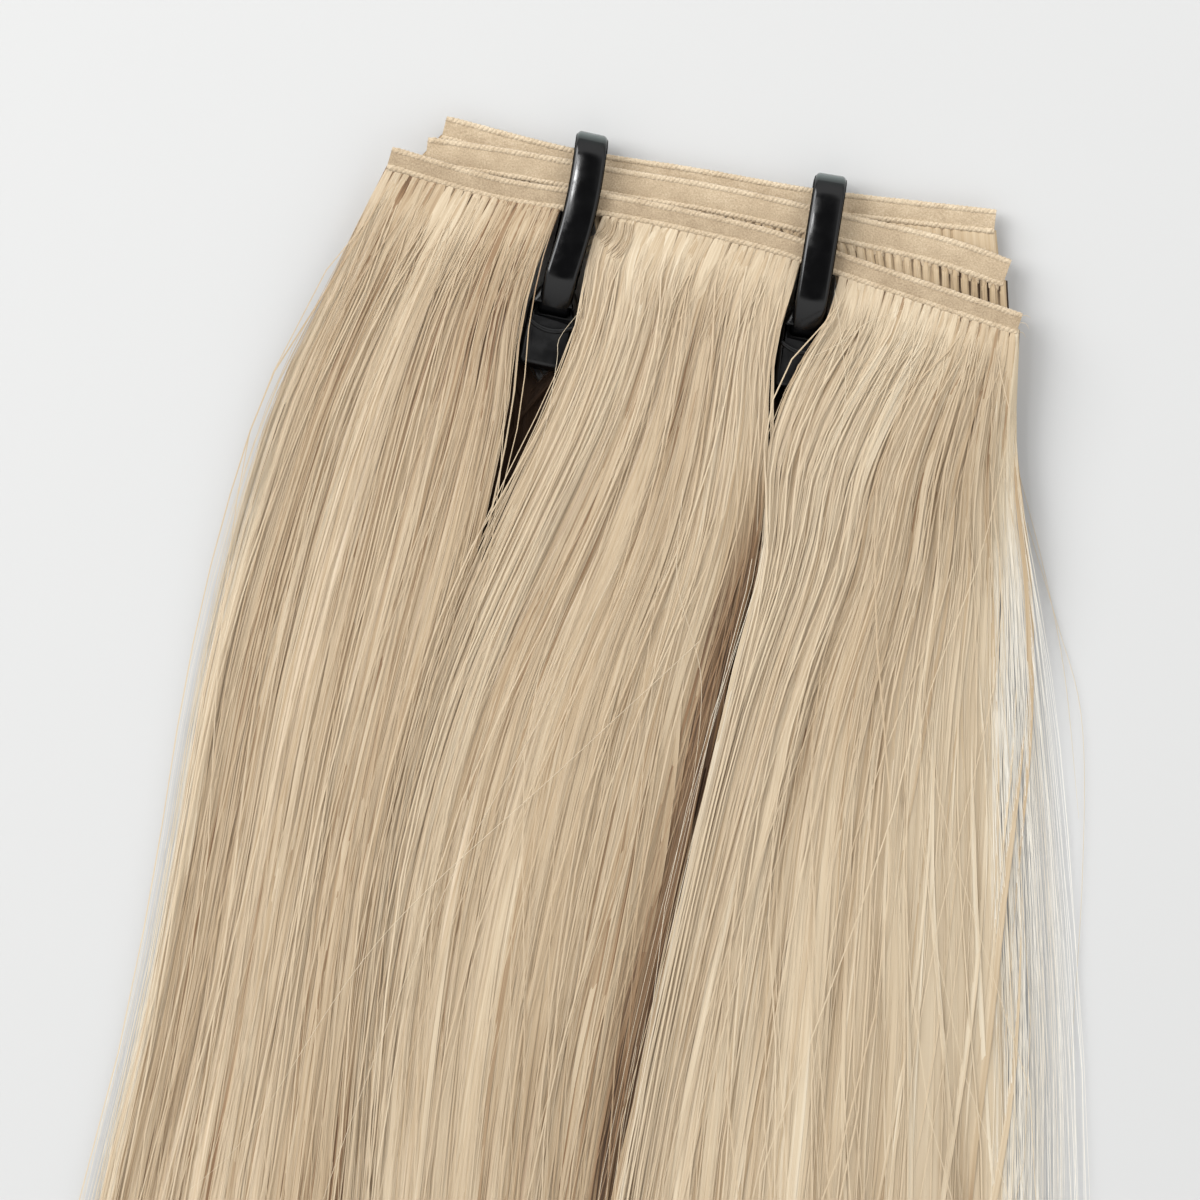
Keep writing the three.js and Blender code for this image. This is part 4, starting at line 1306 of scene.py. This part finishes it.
VIEW_WIDTH = 130.8  # mm across the view at the height of the hair
CAMERA_HEIGHT = 750.0
CAMERA_REACH = 10.0  # in m
FOCUS_HEIGHT = 6.0
SENSOR = 36.0
FLOOR_HALF = 1.6  # in m
FLOOR_DROP = 0.00005
FLOOR_COLOUR = (0.56, 0.562, 0.56, 1.0)
SKY_COLOUR = (0.99, 0.99, 0.985, 1.0)
# Heights between which the sky's light changes, and its strength at both
SKY_RISE, SKY_TOP = (0.0, 0.55, 0.4, 0.9), (0.84, 0.95, 1.0, 0.05)
LIGHTS = (  # name, place from the view's middle and size in m, power in W, and whether gloss mirrors it
    ("left_softbox", (-0.9, 0.5, 0.8), (0.8, 1.0), 15.0, True),
    ("left_strip", (-0.35, 0.29, 1.04), (0.09, 0.08), 1.1, True),
    ("back_softbox", (0.5, 1.05, 0.85), (1.0, 0.7), 9.0, False),
)


def build_floor():
    half = FLOOR_HALF
    mesh = bpy.data.meshes.new("floor")
    corners = [(-half, -half, 0), (half, -half, 0), (half, half, 0), (-half, half, 0)]
    mesh.from_pydata(corners, [], [(0, 1, 2, 3)])
    floor = new_object("floor", mesh)
    material, _, shader = new_material("pale_floor", Roughness=0.85)
    shader.inputs["Base Color"].default_value = FLOOR_COLOUR
    mesh.materials.append(material)
    floor.location.z = -FLOOR_DROP


def area_light(name, place, aim, size, power, mirrored):
    data = bpy.data.lights.new(name, "AREA")
    data.shape = "RECTANGLE"
    data.size, data.size_y = size
    data.energy = power
    lamp = new_object(name, data)
    lamp.location = place
    lamp.visible_glossy = mirrored
    lamp.rotation_euler = (Vector(aim) - Vector(place)).to_track_quat("-Z", "Y").to_euler()


def build_light():
    """The lamps, and a sky that is dimmer near the horizon and dark straight above."""
    centre = in_part((0, 0, 0))
    for name, place, size, power, mirrored in LIGHTS:
        area_light(name, centre + place, centre, size, power, mirrored)
    world = bpy.data.worlds.new("studio")
    world.use_nodes = True
    wire = Wire(world.node_tree)
    background = world.node_tree.nodes["Background"]
    background.inputs["Color"].default_value = SKY_COLOUR
    direction = wire.node("ShaderNodeTexCoord", None, None, "Generated")
    height = wire.node("ShaderNodeSeparateXYZ", None, {"Vector": direction}, "Z")
    strength = height.step(*SKY_RISE) * height.step(*SKY_TOP)
    feed(wire, background, "Strength", strength)
    bpy.context.scene.world = world


def build_camera():
    data = bpy.data.cameras.new("camera")
    data.sensor_width = SENSOR
    data.lens = SENSOR * (CAMERA_HEIGHT - FOCUS_HEIGHT) / VIEW_WIDTH
    data.clip_end = CAMERA_REACH
    camera = new_object("camera", data)
    camera.location = in_part((0, 0, CAMERA_HEIGHT))
    bpy.context.scene.camera = camera
    bpy.context.scene.view_settings.view_transform = "Standard"


# Pieces

def finish_piece(piece, slot, *nodes):
    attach(piece, BODY)
    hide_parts(*nodes)


# How many there are in the left, centre and right lock
STRAND_COUNTS = {"front": (330, 350, 380), "middle": (150, 150, 210), "back": (130, 130, 170)}
WISP_COUNTS = (230, 260, 300)  # on the top weft
FRINGE_COUNTS = (60, 0, 150)  # pale loose hairs at its outer edges
TUFT_COUNTS = (20, 23, 19)
# What they leave free at the left and right of a lock, and where its edges are thin, in widths
STRAND_EDGES = {"left": (0.0, 0.0), "centre": (0.0, 0.0), "right": (0.0, 0.03)}
WISP_EDGES = {"left": (0.1, 0.02), "centre": (0.02, 0.05), "right": (0.02, 0.03)}
FRINGE_EDGES = {"left": (0.0, 0.88), "right": (0.955, 0.0)}
THIN_EDGES = {
    "left": (0.13, NO_THIN_EDGE), "centre": (NO_THIN_EDGE, NO_THIN_EDGE), "right": (0.06, 0.06)}
FRINGE_WIDTH = 0.06 * MM
# painted light: the fringe's hairs are painted paler still, for the light through them
FRINGE_PALER = 0.1
WISP_SEEDS, FRINGE_SEEDS = 100, 200  # added to a lock's seed


def build_lock(node, number, surface, kinds, seed):
    """Grows each kind of hair on a lock: its name, tree, finish, counts, free edges, added seed and sizes."""
    lock = LOCKS[number]
    points, _, tone = surface
    share = 1
    for name, tree, finish, counts, edges, added, sizes in kinds:
        if not counts[number]:
            continue
        left, right = edges[lock]
        piece = grown(
            name.format(node=node, lock=lock), surface_mesh(points, tone), tree, finish,
            Strands=counts[number] // share, Tufts=TUFT_COUNTS[number],
            LeftEdge=left, RightEdge=right, Seed=seed + added, **sizes(lock))
        finish_piece(piece, "hair", node)


def thin_edges(lock):
    left, right = THIN_EDGES[lock]
    return {"LeftThin": left, "RightThin": right}


def fringe_sizes(lock):
    return dict(thin_edges(lock), Width=FRINGE_WIDTH, Lighter=FRINGE_PALER, Stray=0.0)


def no_sizes(lock):
    return {}


def build_hair():
    strand_nodes = strand_tree("strands_on_a_lock", STRAND_SIZES, STRAND_SIDES, STRAND_FLATNESS)
    wisp_nodes = strand_tree("wisps_on_a_lock", WISP_SIZES, WISP_SIDES, WISP_FLATNESS)
    top_finish = strand_material("hair_strands", HAIR_TONES, HAIR_GLOSS)
    lower_finish = strand_material("hair_lower_strands", LOWER_TONES, LOWER_GLOSS)
    fringe_finish = strand_material("hair_fringe", FRINGE_TONES, HAIR_GLOSS)
    top_core_finish = core_material("hair_core", HAIR_TONES, HAIR_GLOSS)
    lower_core_finish = core_material("hair_lower_core", LOWER_TONES, LOWER_GLOSS)
    for weft_number, weft in enumerate(WEFTS):
        top = weft == "front"
        node = "hair_" + weft
        kinds = [("{node}_{lock}_strands", strand_nodes, top_finish if top else lower_finish,
                  STRAND_COUNTS[weft], STRAND_EDGES, 0, thin_edges)]
        if top:
            kinds.append(("{node}_{lock}_wisps", wisp_nodes, top_core_finish,
                          WISP_COUNTS, WISP_EDGES, WISP_SEEDS, no_sizes))
            kinds.append(("hair_fringe_{lock}", strand_nodes, fringe_finish,
                          FRINGE_COUNTS, FRINGE_EDGES, FRINGE_SEEDS, fringe_sizes))
        solid = solid_tree(node)
        surfaces = []
        for number, lock in enumerate(LOCKS):
            seed = 10 * weft_number + number + 1
            surface = lock_surface(weft, lock, solid, TUFT_COUNTS[number], seed)
            surfaces.append(surface)
            build_lock(node, number, surface, kinds, seed)
        core = new_object(node + "_core", core_mesh(surfaces, weft_number + CORE_SEED))
        core.data.materials.append(top_core_finish if top else lower_core_finish)
        finish_piece(core, "hair", node)
    line_nodes = hair_line_tree()
    strays = grown("hair_strays", line_mesh(stray_lines()), line_nodes, top_finish)
    finish_piece(strays, "hair", "hair_front")
    swirl = grown(
        "hair_swirl", line_mesh(swirl_lines()), line_nodes, top_finish, Width=SWIRL_WIDTH, Tone=SWIRL_TONE)
    finish_piece(swirl, "hair", "hair_front")


def build_tracks():
    tree = track_tree()
    finish = thread_material()
    for number, weft in enumerate(WEFTS):
        track = grown("sewn_track_" + weft, track_line_mesh(weft), tree, finish,
                      Height=TRACK_HEIGHTS[weft] * MM, Teeth=1.0 if weft == "middle" else 0.0,
                      CordTone=CORD_TONES[weft], BandTone=BAND_TONES[weft], Seed=number + 1)
        finish_piece(track, "track", "track_" + weft)


def build_ties():
    finish = nylon_material()
    for name in TIES:
        tie = new_object("cable_" + name, tie_mesh(name))
        tie.data.materials.append(finish)
        finish_piece(tie, "tie", name)


build_camera()
build_floor()
build_light()
build_hair()
build_tracks()
build_ties()
